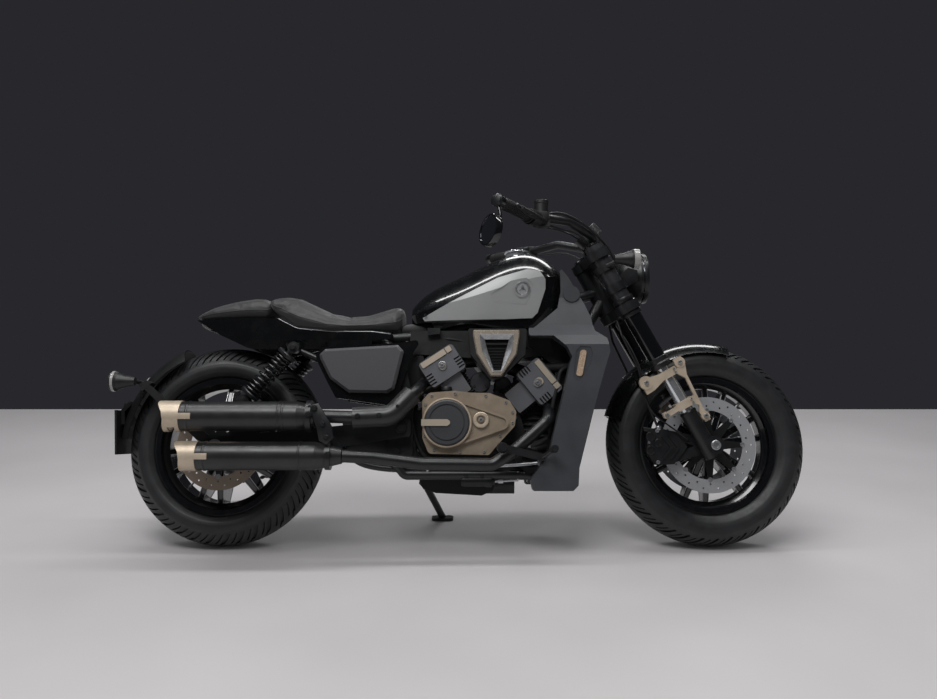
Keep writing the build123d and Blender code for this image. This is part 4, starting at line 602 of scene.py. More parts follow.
def bent(points, radius, sides=12, closed=False):
    """A round bar swept along smooth points."""
    bm = bmesh.new()
    path = [Vector(point) for point in points]
    count = len(path)
    up = Vector((0, 0, 1))
    rings = []
    for n, point in enumerate(path):
        ahead = path[(n + 1) % count] if closed or n + 1 < count else point
        behind = path[n - 1] if closed or n else point
        heading = (ahead - behind).normalized()
        across = heading.cross(up)
        if across.length < 0.1:
            across = heading.cross(Vector((1, 0, 0)))
        across.normalize()
        up = across.cross(heading)
        ring = bmesh.ops.create_circle(bm, segments=sides, radius=radius, cap_ends=False)["verts"]
        turn = Matrix((across, up, heading)).transposed().to_4x4()
        bmesh.ops.transform(bm, matrix=Matrix.Translation(point) @ turn, verts=ring)
        rings.append({edge for vert in ring for edge in vert.link_edges})
    pairs = list(zip(rings, rings[1:])) + ([(rings[-1], rings[0])] if closed else [])
    for first, second in pairs:
        bmesh.ops.bridge_loops(bm, edges=list(first | second))
    if not closed:
        for ring in (rings[0], rings[-1]):
            bmesh.ops.contextual_create(bm, geom=list(ring))
    return bm


def skin_of(objects):
    """The faces of some objects, for finding the nearest place on them."""
    corners, faces = [], []
    for item in objects:
        first = len(corners)
        corners += [item.matrix_world @ vertex.co for vertex in item.data.vertices]
        faces += [[first + corner for corner in face.vertices] for face in item.data.polygons]
    return BVHTree.FromPolygons(corners, faces)


def nearest(skin, point, lift):
    """The nearest place on a skin to a point, raised from it, both in mm."""
    place, normal, _, _ = skin.find_nearest(MACHINE @ Vector(point))
    return MACHINE.inverted() @ (place + normal * lift / 1000)


body_nodes = frame["record"]["behaviour"]["bodies"]
skins = {body: skin_of([nodes[name] for name in body_nodes[body]]) for body in ("chassis", "steering")}


def moored(point, body):
    """The nearest place on a body to a point, 2 mm below its surface."""
    return nearest(skins[body], point, -2)


def cable(name, points, radius, body, material=BRAID):
    """A cable or pipe on one smooth line, held at both ends."""
    points = [moored(points[0], body)] + points + [moored(points[-1], body)]
    data = bpy.data.curves.new(name, "CURVE")
    data.dimensions = "3D"
    data.bevel_depth = radius / 1000
    data.bevel_resolution = 3
    data.resolution_u = 8
    data.use_fill_caps = True
    line = data.splines.new("NURBS")
    line.points.add(len(points) - 1)
    for knot, point in zip(line.points, points):
        knot.co = (*(MACHINE @ Vector(point)), 1)
    line.order_u = 3
    line.use_endpoint_u = True
    data.materials.append(material)
    piece = bpy.data.objects.new(name, data)
    bpy.context.scene.collection.objects.link(piece)
    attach(piece, body)
    return piece


# ---------------------------------------------------------------- tyres
CROWN_R = 92
BEAD_R = 204
FLANGE_LIP_R = 216
TREAD_ROWS = 28
TREAD_SHARE = 0.86  # of the tyre's half-width
WALL_T = 14
PITCH_STEPS = 8
GROOVE_MM = 5.5
WALL_RINGS = {3: 0.9, 4: 0.9, 12: 0.7, 17: 1.2, 18: 1.2}  # how far points of the wall stand proud


def arc_points(start, middle, last_point, count):
    """Evenly spaced points on the arc through three points."""
    a, b, c = (complex(*point) for point in (start, middle, last_point))
    w = (c - a) / (b - a)
    centre = (b - a) * (w - abs(w) ** 2) / (2j * w.imag) + a
    first, last = (atan2((end - centre).imag, (end - centre).real) for end in (a, c))
    if abs(last - first) > pi:
        last += 2 * pi if last < first else -2 * pi
    radius = abs(a - centre)
    turns = [first + (last - first) * n / (count - 1) for n in range(count)]
    return [(centre.real + radius * cos(t), centre.imag + radius * sin(t)) for t in turns]


def sweep(reach, pitch):
    """How far round the tyre a groove has swept, at a share of the tread's half-width."""
    return pitch * 1.1 * min(reach, 1) ** 1.4


def in_groove(step, reach):
    """Whether a part of the tread is cut: a long groove, a short one, or the line in the middle."""
    long_groove = step == 0 and reach > 0.28 or step == 1 and reach > 0.5
    short_groove = step == 5 and 0.55 < reach < 0.97
    middle_line = 0.12 < reach < 0.2
    return long_groove or short_groove or middle_line


def tyre(name, axle, diameter, width, rim_w, pitches, body):
    """A road tyre: grooved crown, ringed walls and a hollow inside, one tread pitch repeated."""
    radius, half, bead = diameter / 2, width / 2, rim_w / 2 - 0.3
    tread = TREAD_SHARE * half
    shoulder_r = radius - CROWN_R + sqrt(CROWN_R**2 - tread**2)
    bulge_r = (shoulder_r + BEAD_R) / 2 + 8
    crown = [tread * (2 * n / TREAD_ROWS - 1) for n in range(TREAD_ROWS + 1)]
    section = [(y, radius - CROWN_R + sqrt(CROWN_R**2 - y**2)) for y in crown]
    wall = arc_points((tread, shoulder_r), (half, bulge_r), (bead, FLANGE_LIP_R), 22)[1:]
    wall = [(y + WALL_RINGS.get(n, 0), r) for n, (y, r) in enumerate(wall)]
    inside = [
        (bead - 9, FLANGE_LIP_R + 4),
        (half - 12, bulge_r),
        (tread - WALL_T, shoulder_r - 12),
        (0, radius - WALL_T),
    ]
    one_side = wall + [(bead, BEAD_R), (bead - 9, BEAD_R)] + inside
    other_side = [(-y, r) for y, r in reversed(one_side[:-1])]
    loop = section + one_side + other_side
    pitch = 2 * pi / pitches
    bm = bmesh.new()
    verts = []
    for y, r in loop:
        swing = sweep(abs(y) / tread, pitch)
        verts.append(bm.verts.new((r * cos(swing), y, r * sin(swing))))
    edges = [bm.edges.new(pair) for pair in zip(verts, verts[1:] + verts[:1])]
    bmesh.ops.spin(
        bm, geom=verts + edges, cent=(0, 0, 0), axis=(0, -1, 0), dvec=(0, 0, 0), angle=pitch,
        steps=PITCH_STEPS, use_merge=False, use_normal_flip=False, use_duplicate=False,
    )
    grooves = []
    for face in bm.faces:
        middle = face.calc_center_median()
        reach = abs(middle.y) / tread
        out = sqrt(middle.x**2 + middle.z**2)
        if reach > 1.04 or out < shoulder_r - 3:
            continue
        turn = atan2(middle.z, middle.x) - sweep(reach, pitch)
        step = int(turn / pitch * PITCH_STEPS + 100 * PITCH_STEPS) % PITCH_STEPS
        staggered = PITCH_STEPS // 2 if middle.y > 0 else 0  # one side is half a pitch on from the other
        if in_groove((step + staggered) % PITCH_STEPS, reach):
            grooves.append(face)
    bmesh.ops.recalc_face_normals(bm, faces=bm.faces)
    outermost = max(bm.faces, key=lambda face: face.calc_center_median().length)
    if outermost.normal.dot(outermost.calc_center_median()) < 0:
        bmesh.ops.reverse_faces(bm, faces=bm.faces)
    bmesh.ops.inset_region(
        bm, faces=grooves, thickness=0.7, depth=-GROOVE_MM, use_boundary=False, use_even_offset=True
    )
    whole = bmesh.new()
    turns = [Matrix.Rotation(-n * pitch, 4, "Y") for n in range(pitches)]
    stamp(whole, bm, [Matrix.Translation(axle * 1000) @ turn for turn in turns])
    bmesh.ops.remove_doubles(whole, verts=whole.verts, dist=0.05)
    return keep(name, whole, body, TYRE, 32)


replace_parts(tyre("front_tyre_skin", FRONT_AXLE, 632, 150, 96, 40, "front_wheel"), "front_tyre")
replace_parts(tyre("rear_tyre_skin", REAR_AXLE, 626, 180, 134, 38, "rear_wheel"), "rear_tyre")


# ---------------------------------------------------------------- seats
PIPING_MM = 1.7
SWELL_FRAMES = 20


def cushion_block(stations):
    """A closed block with rounded shoulders: stations are x, half-width, foot, top and crown."""
    bm = bmesh.new()
    rings = []
    for x, half, low, top, crown in stations:
        tall = top - low
        rim = [
            (0, low),
            (0.7 * half, low),
            (0.93 * half, low + 0.04 * tall),
            (half, low + 0.3 * tall),
            (0.99 * half, low + 0.62 * tall),
            (0.9 * half, low + 0.86 * tall),
            (0.7 * half, top),
            (0.35 * half, top + 0.8 * crown),
            (0, top + crown),
        ]
        rim += [(-y, z) for y, z in reversed(rim[1:-1])]
        ring = [bm.verts.new((x, y, z)) for y, z in rim]
        rings.append([bm.edges.new(pair) for pair in zip(ring, ring[1:] + ring[:1])])
    for first, second in zip(rings, rings[1:]):
        bmesh.ops.bridge_loops(bm, edges=first + second)
    for ring in (rings[0], rings[-1]):
        bmesh.ops.contextual_create(bm, geom=ring)
    bmesh.ops.recalc_face_normals(bm, faces=bm.faces)
    return bm


def apply_modifiers(piece):
    """Bakes a piece's modifiers into its mesh."""
    shaped = piece.evaluated_get(bpy.context.evaluated_depsgraph_get())
    mesh = bpy.data.meshes.new_from_object(shaped)
    piece.modifiers.clear()
    piece.data = mesh


def swell(piece, rests, cap_mm):
    """Lets a cushion swell under pressure where it doesn't rest on the tail, up to a cap."""
    voxels = piece.modifiers.new("voxels", "REMESH")
    voxels.mode = "VOXEL"
    voxels.voxel_size = 0.005
    voxels.use_smooth_shade = True
    apply_modifiers(piece)
    back = MACHINE.inverted()
    group = piece.vertex_groups.new(name="rests")
    group.add([v.index for v in piece.data.vertices if rests(back @ v.co)], 1.0, "REPLACE")
    start = [v.co.copy() for v in piece.data.vertices]
    cloth = piece.modifiers.new("swell", "CLOTH")
    cloth.settings.quality = 5
    cloth.settings.use_pressure = True
    cloth.settings.uniform_pressure_force = 4
    cloth.settings.vertex_group_mass = "rests"
    cloth.settings.effector_weights.gravity = 0
    cloth.point_cache.frame_start = 1
    cloth.point_cache.frame_end = SWELL_FRAMES
    for step in range(1, SWELL_FRAMES + 1):
        bpy.context.scene.frame_set(step)
    apply_modifiers(piece)
    bpy.context.scene.frame_set(1)
    for vertex, origin in zip(piece.data.vertices, start):
        shift = vertex.co - origin
        if shift.length > cap_mm / 1000:
            vertex.co = origin + shift.normalized() * cap_mm / 1000


def smooth_run(points, steps):
    """Points on one smooth line through the given ones."""
    knots = [Vector(point) for point in points]
    knots = [2 * knots[0] - knots[1]] + knots + [2 * knots[-1] - knots[-2]]
    run = []
    for a, b, c, d in zip(knots, knots[1:], knots[2:], knots[3:]):
        for n in range(steps):
            t = n / steps
            square = (2 * a - 5 * b + 4 * c - d) * t**2
            cube = (3 * b - a - 3 * c + d) * t**3
            run.append(0.5 * (2 * b + (c - a) * t + square + cube))
    return run + [knots[-2]]


def upholstered(name, stations, node, rests, cap_mm):
    """A padded cushion with its piped edge."""
    bm = cushion_block(stations)
    piece = keep(name, bm, "chassis", VINYL, 180)
    swell(piece, rests, cap_mm)
    rounded = piece.modifiers.new("rounded", "SUBSURF")
    rounded.levels = rounded.render_levels = 1
    piece.data.shade_smooth()
    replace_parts(piece, node)
    skin = skin_of([piece])
    edge = bmesh.new()
    for hand in SIDES:
        line = [(x, hand * 1.02 * half, low + 0.42 * (top - low)) for x, half, low, top, _ in stations]
        run = [nearest(skin, point, -0.4) for point in smooth_run(line, 8)]
        join(edge, bent(run, PIPING_MM, 8))
    keep(f"{name}_piping", edge, "chassis", VINYL, 80)


SEAT_STATIONS = [  # x, half-width, foot, top, crown
    (-640, 88, 764, 776, 2),
    (-628, 104, 744, 781, 5),
    (-590, 114, 716, 783, 7),
    (-545, 122, 686, 774, 8),
    (-495, 128, 679, 751, 8),
    (-440, 132, 675, 727, 6),
    (-380, 126, 675, 717, 4),
    (-320, 112, 675, 722, 6),
    (-265, 94, 675, 738, 8),
    (-225, 78, 677, 752, 7),
    (-208, 66, 694, 754, 4),
]
PAD_STATIONS = [
    (-884, 44, 722, 732, 2),
    (-868, 58, 718, 740, 4),
    (-826, 76, 718, 757, 7),
    (-760, 88, 719, 771, 9),
    (-700, 95, 719, 781, 9),
    (-664, 96, 719, 782, 7),
    (-645, 94, 722, 776, 5),
    (-634, 86, 738, 765, 2),
]
upholstered("rider_cushion", SEAT_STATIONS, "rider_seat", lambda p: p.z < 690 or p.x < -560 and p.z < 735, 6)
upholstered("pillion_cushion", PAD_STATIONS, "pillion_pad", lambda p: p.z < 726, 6)


# ---------------------------------------------------------------- springs
def coil(foot, axis, length, radius, wire, turns):
    """A helical spring with its end turns closed up."""
    steps = 18 * turns
    points = []
    for n in range(steps + 1):
        part = n / steps
        rise = wire + (length - 2 * wire) * (part - 0.035 * sin(2 * pi * part))
        points.append((radius * cos(2 * pi * turns * part), radius * sin(2 * pi * turns * part), rise))
    bm = bent(points, wire, 8)
    bmesh.ops.transform(bm, matrix=axis_frame(foot, axis), verts=bm.verts)
    return bm


SHOCK_FOOT = Vector((-691, 150, 452))
SHOCK_TOP = Vector((-542, 150, 616))
SPRING_RISE = 32  # of the spring's foot from the shock's
springs = bmesh.new()
spring_collars = bmesh.new()
shock_axis = (SHOCK_TOP - SHOCK_FOOT).normalized()
for hand in SIDES:
    foot = Vector((SHOCK_FOOT.x, hand * SHOCK_FOOT.y, SHOCK_FOOT.z))
    spring_foot = foot + shock_axis * SPRING_RISE
    join(springs, coil(spring_foot, shock_axis, length=155, radius=25, wire=4, turns=10))
    for rise in (22, 184):
        collar = [(0, 18), (0, 32), (3, 33), (9, 33), (12, 30), (14, 18), (0, 18)]
        seat(spring_collars, turned(collar), foot + shock_axis * rise, shock_axis)
    damper = [(0, 0), (0, 14), (150, 14), (150, 0)]
    seat(spring_collars, turned(damper), spring_foot, shock_axis)
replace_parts(keep("suspension_springs", springs, "chassis", ENAMEL, 60), "shock_springs")
keep("spring_collars", spring_collars, "chassis", POWDER)


# ---------------------------------------------------------------- screws
def socket_screw(size):
    """A cap screw with its socket."""
    section = [(-0.4, 0), (-0.4, 1), (0.7, 1), (0.9, 0.86), (0.9, 0.5), (0.3, 0.45), (0.3, 0)]
    return turned([(size * height, size * radius) for height, radius in section], 16)


def hex_screw(size):
    """A flanged hexagon head."""
    section = [(-0.3, 0), (-0.3, 1.45), (0.15, 1.4), (0.3, 0)]
    bm = turned([(size * height, size * radius) for height, radius in section], 20)
    head = bmesh.new()
    bmesh.ops.create_cone(
        head, cap_ends=True, cap_tris=False, segments=6, radius1=size, radius2=size, depth=0.8 * size
    )
    bmesh.ops.translate(head, vec=(0, 0, 0.5 * size), verts=head.verts)
    bevel(head, head.edges, 0.1 * size, 1)
    join(bm, head)
    return bm


screw_rows = {  # piece: body, material, slot, kind, on both sides or not, places as (x, y, z, size)
    "head_cover_screws": ("chassis", STEEL, "bright_steel", socket_screw, True, [
        (-76, -132, 562, 7), (224, -132, 508, 7)]),
    "clutch_cover_screws": ("chassis", STEEL, "bright_steel", socket_screw, False, [
        (-127, -150, 440, 4.5), (-128, -150, 345, 4.5), (-100, -150, 302, 4.5), (-20, -150, 296, 4.5),
        (55, -150, 296, 4.5), (104, -150, 344, 4.5), (143, -150, 384, 4.5), (143, -150, 416, 4.5),
        (122, -150, 446, 4.5), (60, -150, 466, 4.5), (-35, -150, 473, 4.5), (-108, -150, 467, 4.5),
        (45, -162, 392, 7)]),
    "caliper_screws": ("steering", STEEL, "bright_steel", socket_screw, True, [
        (600, -98, 359, 6), (599, -98, 263, 6), (573, -98, 323, 4)]),
    "tank_screws": ("chassis", POWDER, "satin_black", socket_screw, True, [(-133, -95, 727, 4.5)]),
    "frame_screws": ("chassis", POWDER, "satin_black", hex_screw, True, [
        (-201, -176, 369, 12), (-210, -131, 300, 6), (-205, -131, 540, 6), (230, -130, 279, 6),
        (-542, -166, 616, 9), (-691, -170, 452, 8)]),
    "axle_nuts": ("chassis", STEEL, "bright_steel", hex_screw, True, [(-770, -171, 313, 15)]),
}
for name, (body, material, slot, kind, both, places) in screw_rows.items():
    row = bmesh.new()
    for x, y, z, size in places:
        for mirror in (1, -1) if both else (1,):
            seat(row, kind(size), (x, mirror * y, z), (0, -mirror, 0))
    keep(name, row, body, material)


# ---------------------------------------------------------------- wheels and brakes
def wheel_turn(axle, degrees):
    """The frame of a wheel turned about its axle: z along the machine's left, x outward."""
    return Matrix.Translation(axle * 1000) @ Matrix.Rotation(-radians(degrees), 4, "Y")


SPOKE_PAIRS = 6
FIRST_PAIR = 77  # degrees, of the middle of a pair
SPOKE_SPREAD = 10.5  # degrees from a pair's middle to each spoke
WINDOW_START = 14.5  # degrees from a pair's middle
WINDOW_SPAN = 31
WINDOW_R = 179.5
TRIM_R = 1.1


def spoke_trim(name, axle, root_y, tip_y, body):
    """Machined edges along the twelve spokes and round the windows between them."""
    trim = bmesh.new()
    for pair in range(SPOKE_PAIRS):
        middle = FIRST_PAIR + 360 / SPOKE_PAIRS * pair
        for spread in (-SPOKE_SPREAD, SPOKE_SPREAD):
            turn = wheel_turn(axle, middle + spread)
            for hand in SIDES:
                for edge in (-1, 1):
                    line = [(40, hand * root_y, edge * 12.3), (178, hand * tip_y, edge * 8.4)]
                    stamp(trim, bent(line, TRIM_R, 6), [turn])
        window = [radians(middle + WINDOW_START + WINDOW_SPAN * n / 8) for n in range(9)]
        for hand in SIDES:
            arc = [(WINDOW_R * cos(turn), hand * tip_y, WINDOW_R * sin(turn)) for turn in window]
            stamp(trim, bent(arc, TRIM_R, 6), [Matrix.Translation(axle * 1000)])
    keep(name, trim, body, STEEL)


spoke_trim("front_spoke_edges", FRONT_AXLE, 46.5, 20.2, "front_wheel")
spoke_trim("rear_spoke_edges", REAR_AXLE, 92.5, 39.2, "rear_wheel")


def bobbins(name, axle, band_in, faces, body):
    """Riveted buttons that hold the discs' bands."""
    row = bmesh.new()
    for y in faces:
        for n in range(8):
            turn = pi * n / 4
            spot = axle * 1000 + Vector((band_in * cos(turn), y, band_in * sin(turn)))
            button = [(0, 0), (0, 7.5), (1.2, 7), (1.2, 4), (0.4, 3.6), (0.4, 0)]
            seat(row, turned(button, 20), spot, LEFTWARD if y > 0 else RIGHTWARD)
    keep(name, row, body, STEEL)


bobbins("front_disc_buttons", FRONT_AXLE, 108, (-62, 62), "front_wheel")
bobbins("rear_disc_buttons", REAR_AXLE, 93, (-108,), "rear_wheel")

RIM_WELL_R = 178
for name, axle, degrees, body in (
    ("front_valve", FRONT_AXLE, 47, "front_wheel"),
    ("rear_valve", REAR_AXLE, 227, "rear_wheel"),
):
    stem = [(0, 0), (0, 5), (3, 5), (4, 3.2), (22, 3.2), (22, 4.2), (32, 4), (33, 0)]
    valve = bmesh.new()
    stamp(valve, turned(stem, 12), [wheel_turn(axle, degrees) @ axis_frame((RIM_WELL_R, 0, 0), (-1, 0, 0))])
    keep(name, valve, body, STEEL)


# ---------------------------------------------------------------- fork
def on_steer(ahead, left, along_axis):
    """A place from the steering axis: ahead of it, to the left, and up along it."""
    return STEER @ Vector((ahead, left, along_axis))


LEG_AHEAD = 40
LEG_SPREAD = 116


def on_leg(hand, along_axis):
    """A place on the middle line of a fork leg."""
    return on_steer(LEG_AHEAD, hand * LEG_SPREAD, along_axis)


STEER_UP = STEER.to_3x3() @ Vector(UP)
STEER_AHEAD = STEER.to_3x3() @ Vector(AHEAD)
fork_collars = bmesh.new()
caps = bmesh.new()
for hand in SIDES:
    seal = [(0, 22), (0, 33), (3, 34.5), (16, 34.5), (20, 31.5), (34, 31.5), (36, 29.3), (36, 22), (0, 22)]
    seat(fork_collars, turned(seal), on_leg(hand, 282), STEER_UP)
    yoke_ring = [(0, 29), (0, 33), (2, 34), (13, 34), (15, 33), (15, 29), (0, 29)]
    for height in (470, 520):
        seat(fork_collars, turned(yoke_ring), on_leg(hand, height), STEER_UP)
    wiper = [(0, 21.6), (0, 27), (4, 27.5), (9, 25), (9, 21.6), (0, 21.6)]
    seat(fork_collars, turned(wiper), on_leg(hand, 120), STEER_UP)
    top = [(-2, 0), (-2, 26), (3, 26), (5, 24), (5, 12), (12, 11), (13, 9), (13, 0)]
    seat(caps, turned(top), on_leg(hand, 727), STEER_UP)
stem_nut = bmesh.new()
bmesh.ops.create_cone(stem_nut, cap_ends=True, cap_tris=False, segments=6, radius1=17, radius2=17, depth=12)
bevel(stem_nut, stem_nut.edges, 1.5)
seat(caps, stem_nut, on_steer(0, 0, 714), STEER_UP)
keep("fork_collars", fork_collars, "steering", POWDER)
keep("fork_caps", caps, "steering", ENAMEL)

axle_ends = bmesh.new()
for hand in SIDES:
    end = [(-2, 0), (-2, 15), (5, 15), (6.5, 13.5), (6.5, 8), (2, 7.4), (2, 0)]
    seat(axle_ends, turned(end, 24), (770, hand * 142, 316), (0, hand, 0))
keep("front_axle_ends", axle_ends, "steering", STEEL)

clamp_screws = bmesh.new()
for hand in SIDES:
    for ahead, up in ((89, 272), (75, 92), (-36, 266), (-30, 150)):
        seat(clamp_screws, socket_screw(7), on_steer(ahead, hand * 152.5, up), (0, hand, 0))
    for up in (146, 158, 252, 264):
        seat(clamp_screws, socket_screw(3.5), on_steer(62, hand * 152, up), (0, hand, 0))
    for up in (485, 500, 515, 680, 694, 708):
        seat(clamp_screws, socket_screw(4.5), on_steer(76, hand * 100, up), STEER_AHEAD)
keep("fork_screws", clamp_screws, "steering", STEEL)

# ---------------------------------------------------------------- calipers
bosses = bmesh.new()
for hand in SIDES:
    for x, z, r in ((579, 342, 15), (579, 300, 15), (604, 322, 13)):
        bore = [(0, 0), (0, r), (3, r), (4.5, r - 1.5), (4.5, r - 5), (2, r - 6), (2, 0)]
        seat(bosses, turned(bore, 28), (x, hand * 97, z), (0, hand, 0))
    bridge = [(556, 372), (622, 362), (632, 352), (560, 358)]
    join(bosses, plate(bridge, 74 * hand, 96 * hand, 2))
keep("caliper_bosses", bosses, "steering", POWDER)
for hand, label in zip(SIDES, ("right", "left")):
    fitting = bmesh.new()
    banjo = [(-6, 0), (-6, 8), (-4, 9), (4, 9), (6, 8), (6, 5), (10, 5), (10, 0)]
    seat(fitting, turned(banjo, 16), (606, hand * 92, 368), UP)
    keep(f"hose_fitting_{label}", fitting, "steering", STEEL)
sensor_run = [
    (700, -100, 330), (640, -112, 372), (585, -112, 410), (560, -112, 470),
    (560, -110, 540), (520, -96, 640), (480, -70, 700),
]
cable("wheel_sensor_lead", sensor_run, 2.6, "steering")

# ---------------------------------------------------------------- lamps
LAMP_MIDDLE = Vector((595.6, 0, 864.3))
rim_section = [(-9, 76), (-9, 84), (0, 85), (5, 83), (6, 79), (3, 76), (-9, 76)]
lamp_rim = bmesh.new()
seat(lamp_rim, turned(rim_section, 64), LAMP_MIDDLE, AHEAD)
keep("headlamp_rim", lamp_rim, "steering", POWDER)
reflector = bmesh.new()
bowl = [
    (-11, 0), (-11, 14), (-6, 17), (-6, 27), (-10, 30), (-10, 48),
    (-6, 51), (-3, 66), (-3, 76), (-12, 76), (-12, 0),
]
seat(reflector, turned(bowl, 48), LAMP_MIDDLE, AHEAD)
for n in range(12):
    fin = plate([(-10, -1), (-10, 1), (-4, 1), (-4, -1)], 31, 49, 0.4)
    turn = Matrix.Rotation(pi * n / 6, 4, "Z") @ Matrix.Rotation(-pi / 2, 4, "Y")
    stamp(reflector, fin, [axis_frame(LAMP_MIDDLE, AHEAD) @ turn])
keep("headlamp_reflector", reflector, "steering", MIRROR)
dome = [
    (-3, 77), (0, 77), (4, 70), (8, 50), (10, 25), (10.5, 0),
    (8.5, 0), (8, 25), (6, 49), (2, 68), (-3, 75), (-3, 77),
]
lamp_cover = bmesh.new()
seat(lamp_cover, turned(dome, 64), LAMP_MIDDLE, AHEAD)
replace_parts(keep("headlamp_glass", lamp_cover, "steering", LENS), "headlamp_lens")

BLINKER_L = 52  # from the middle of an indicator's stem to its lens
blinker_lens = [(-1, 0), (-1, 31.5), (15, 31.8), (18, 30), (19.5, 24), (20.5, 12), (21, 0)]
flat_lens = [(0.5 * height, radius) for height, radius in blinker_lens]
fronts = bmesh.new()
rears = bmesh.new()
for hand in SIDES:
    seat(fronts, turned(blinker_lens, 40), (477.6 + BLINKER_L, hand * 184, 894.3), AHEAD)
    seat(rears, turned(flat_lens, 40), (-1041.8 - BLINKER_L, hand * 150, 511.2), (-1, 0, 0))
keep("front_indicator_lenses", fronts, "steering", LAMP_GLASS)
keep("rear_indicator_lenses", rears, "chassis", LAMP_GLASS)

# ---------------------------------------------------------------- bars
mirrors = bmesh.new()
shells = bmesh.new()
levers = bmesh.new()
bar_ends = bmesh.new()
switches = bmesh.new()
for hand in SIDES:
    face = (68.6, hand * 414, 931.3)
    gaze = (-0.85, 0.5 * hand, 0.15)
    silvered = [(2, 0), (2, 42), (5.2, 42), (6.4, 26), (6.8, 0)]
    seat(mirrors, turned(silvered, 48), face, gaze)
    shell = [(-16, 30), (-15, 44), (-10, 49), (3, 50), (7, 48), (7, 43), (2, 42), (-16, 30)]
    seat(shells, turned(shell, 48), face, gaze)
    blade = [
        (226, hand * 262, 1002), (212, hand * 290, 999), (184, hand * 330, 1003),
        (168, hand * 372, 1005), (152, hand * 398, 1009),
    ]
    join(levers, bent(smooth_run(blade, 6), 5.2, 10))
    ball = turned([(-7, 0), (-6, 4), (0, 7), (6, 4), (7, 0)], 14)
    seat(levers, ball, (150, hand * 400, 1009.5), LEFTWARD)
    weight = [(0, 0), (0, 19), (8, 20), (14, 16), (16, 9), (16, 0)]
    seat(bar_ends, turned(weight), (93.1, hand * 414, 1019.4), (-0.6, 0.8 * hand, 0.07))
    pod = plate([(-20, -18), (20, -18), (24, 6), (12, 24), (-16, 22)], -16, 16, 4)
    pod_place = axis_frame((232, hand * 250, 1012), (0.2, hand, 0)) @ Matrix.Rotation(pi / 2, 4, "X")
    stamp(switches, pod, [pod_place])
    for n in range(3):
        button = [(0, 0), (0, 5), (4, 4.6), (5, 3.6), (5, 0)]
        spot = Vector((214, hand * (240 + 12 * n), 1018 - 9 * (n % 2)))
        seat(switches, turned(button, 14), spot, (-0.9, 0, 0.4))
keep("mirror_glasses", mirrors, "steering", MIRROR)
keep("mirror_shells", shells, "steering", ENAMEL)
keep("hand_levers", levers, "steering", POWDER)
keep("bar_end_weights", bar_ends, "steering", POWDER)
keep("switch_pods", switches, "steering", ABS)

reservoir = bmesh.new()
can = [(-4, 0), (-4, 21.5), (36, 21.5), (38, 23), (46, 23), (48, 21), (48, 17), (46, 15), (46, 0)]
seat(reservoir, turned(can, 40), (234.6, -242, 1020.3), UP)
keep("fluid_reservoir", reservoir, "steering", ABS)

bar_clamps = bmesh.new()
for y in (-52, 52):
    middle = Vector((417.6, y, 986))
    sleeve = [(-14, 14), (-14, 24), (-11, 26), (11, 26), (14, 24), (14, 14), (-14, 14)]
    seat(bar_clamps, turned(sleeve, 32), middle, LEFTWARD)
    for ahead in (-17, 17):
        spot = middle + STEER.to_3x3() @ Vector((ahead, 0, 20))
        seat(bar_clamps, socket_screw(5), spot, STEER_UP)
keep("bar_clamps", bar_clamps, "steering", POWDER)

DIAL_NORMAL = (-0.7217, 0, 0.6922)
DIAL = Vector((405.2, 0, 1020.6))
bezel_section = [(-26, 47), (-2, 48), (3, 48), (5, 46), (5, 42), (1, 41), (-26, 47)]
bezel = bmesh.new()
seat(bezel, turned(bezel_section, 56), DIAL, DIAL_NORMAL)
keep("dial_bezel", bezel, "steering", POWDER)
crystal = bmesh.new()
seat(crystal, turned([(0, 0), (0, 42), (2, 42), (3, 30), (3.4, 0)], 48), DIAL, DIAL_NORMAL)
keep("dial_glass", crystal, "steering", SCREEN)
GLASS_T = 3.1
ticks = bmesh.new()
for n in range(25):
    inner_r = 36 if n % 2 else 33
    mark = plate([(-0.6, inner_r), (0.6, inner_r), (0.6, 39), (-0.6, 39)], -0.3, 0.3)
    turn = Matrix.Rotation(radians(-120 + 10 * n), 4, "Z") @ Matrix.Rotation(-pi / 2, 4, "X")
    stamp(ticks, mark, [axis_frame(DIAL + Vector(DIAL_NORMAL) * GLASS_T, DIAL_NORMAL) @ turn])
keep("dial_marks", ticks, "steering", LAMP_GLASS)

bar_lines = {
    "throttle_cable": [
        (196, -246, 1000), (232, -190, 998), (330, -120, 1000), (420, -66, 950), (452, -40, 880)],
    "brake_line_upper": [
        (238, -232, 1024), (300, -196, 1046), (390, -130, 1020), (470, -96, 950), (500, -88, 870),
        (492, -80, 770)],
    "clutch_cable": [
        (226, 250, 1004), (280, 190, 1030), (370, 130, 1020), (450, 70, 940), (456, 44, 860)],
    "switch_lead_right": [
        (230, -262, 998), (280, -200, 990), (360, -150, 990), (430, -90, 930), (446, -60, 850)],
    "switch_lead_left": [
        (230, 262, 998), (280, 200, 990), (360, 150, 990), (430, 90, 930), (446, 60, 850)],
    "brake_line_splitter": [(468, -60, 800), (500, -72, 760), (486, -70, 730)],
}
for name, points in bar_lines.items():
    cable(name, points, 4.2 if "brake" in name else 3.2, "steering")

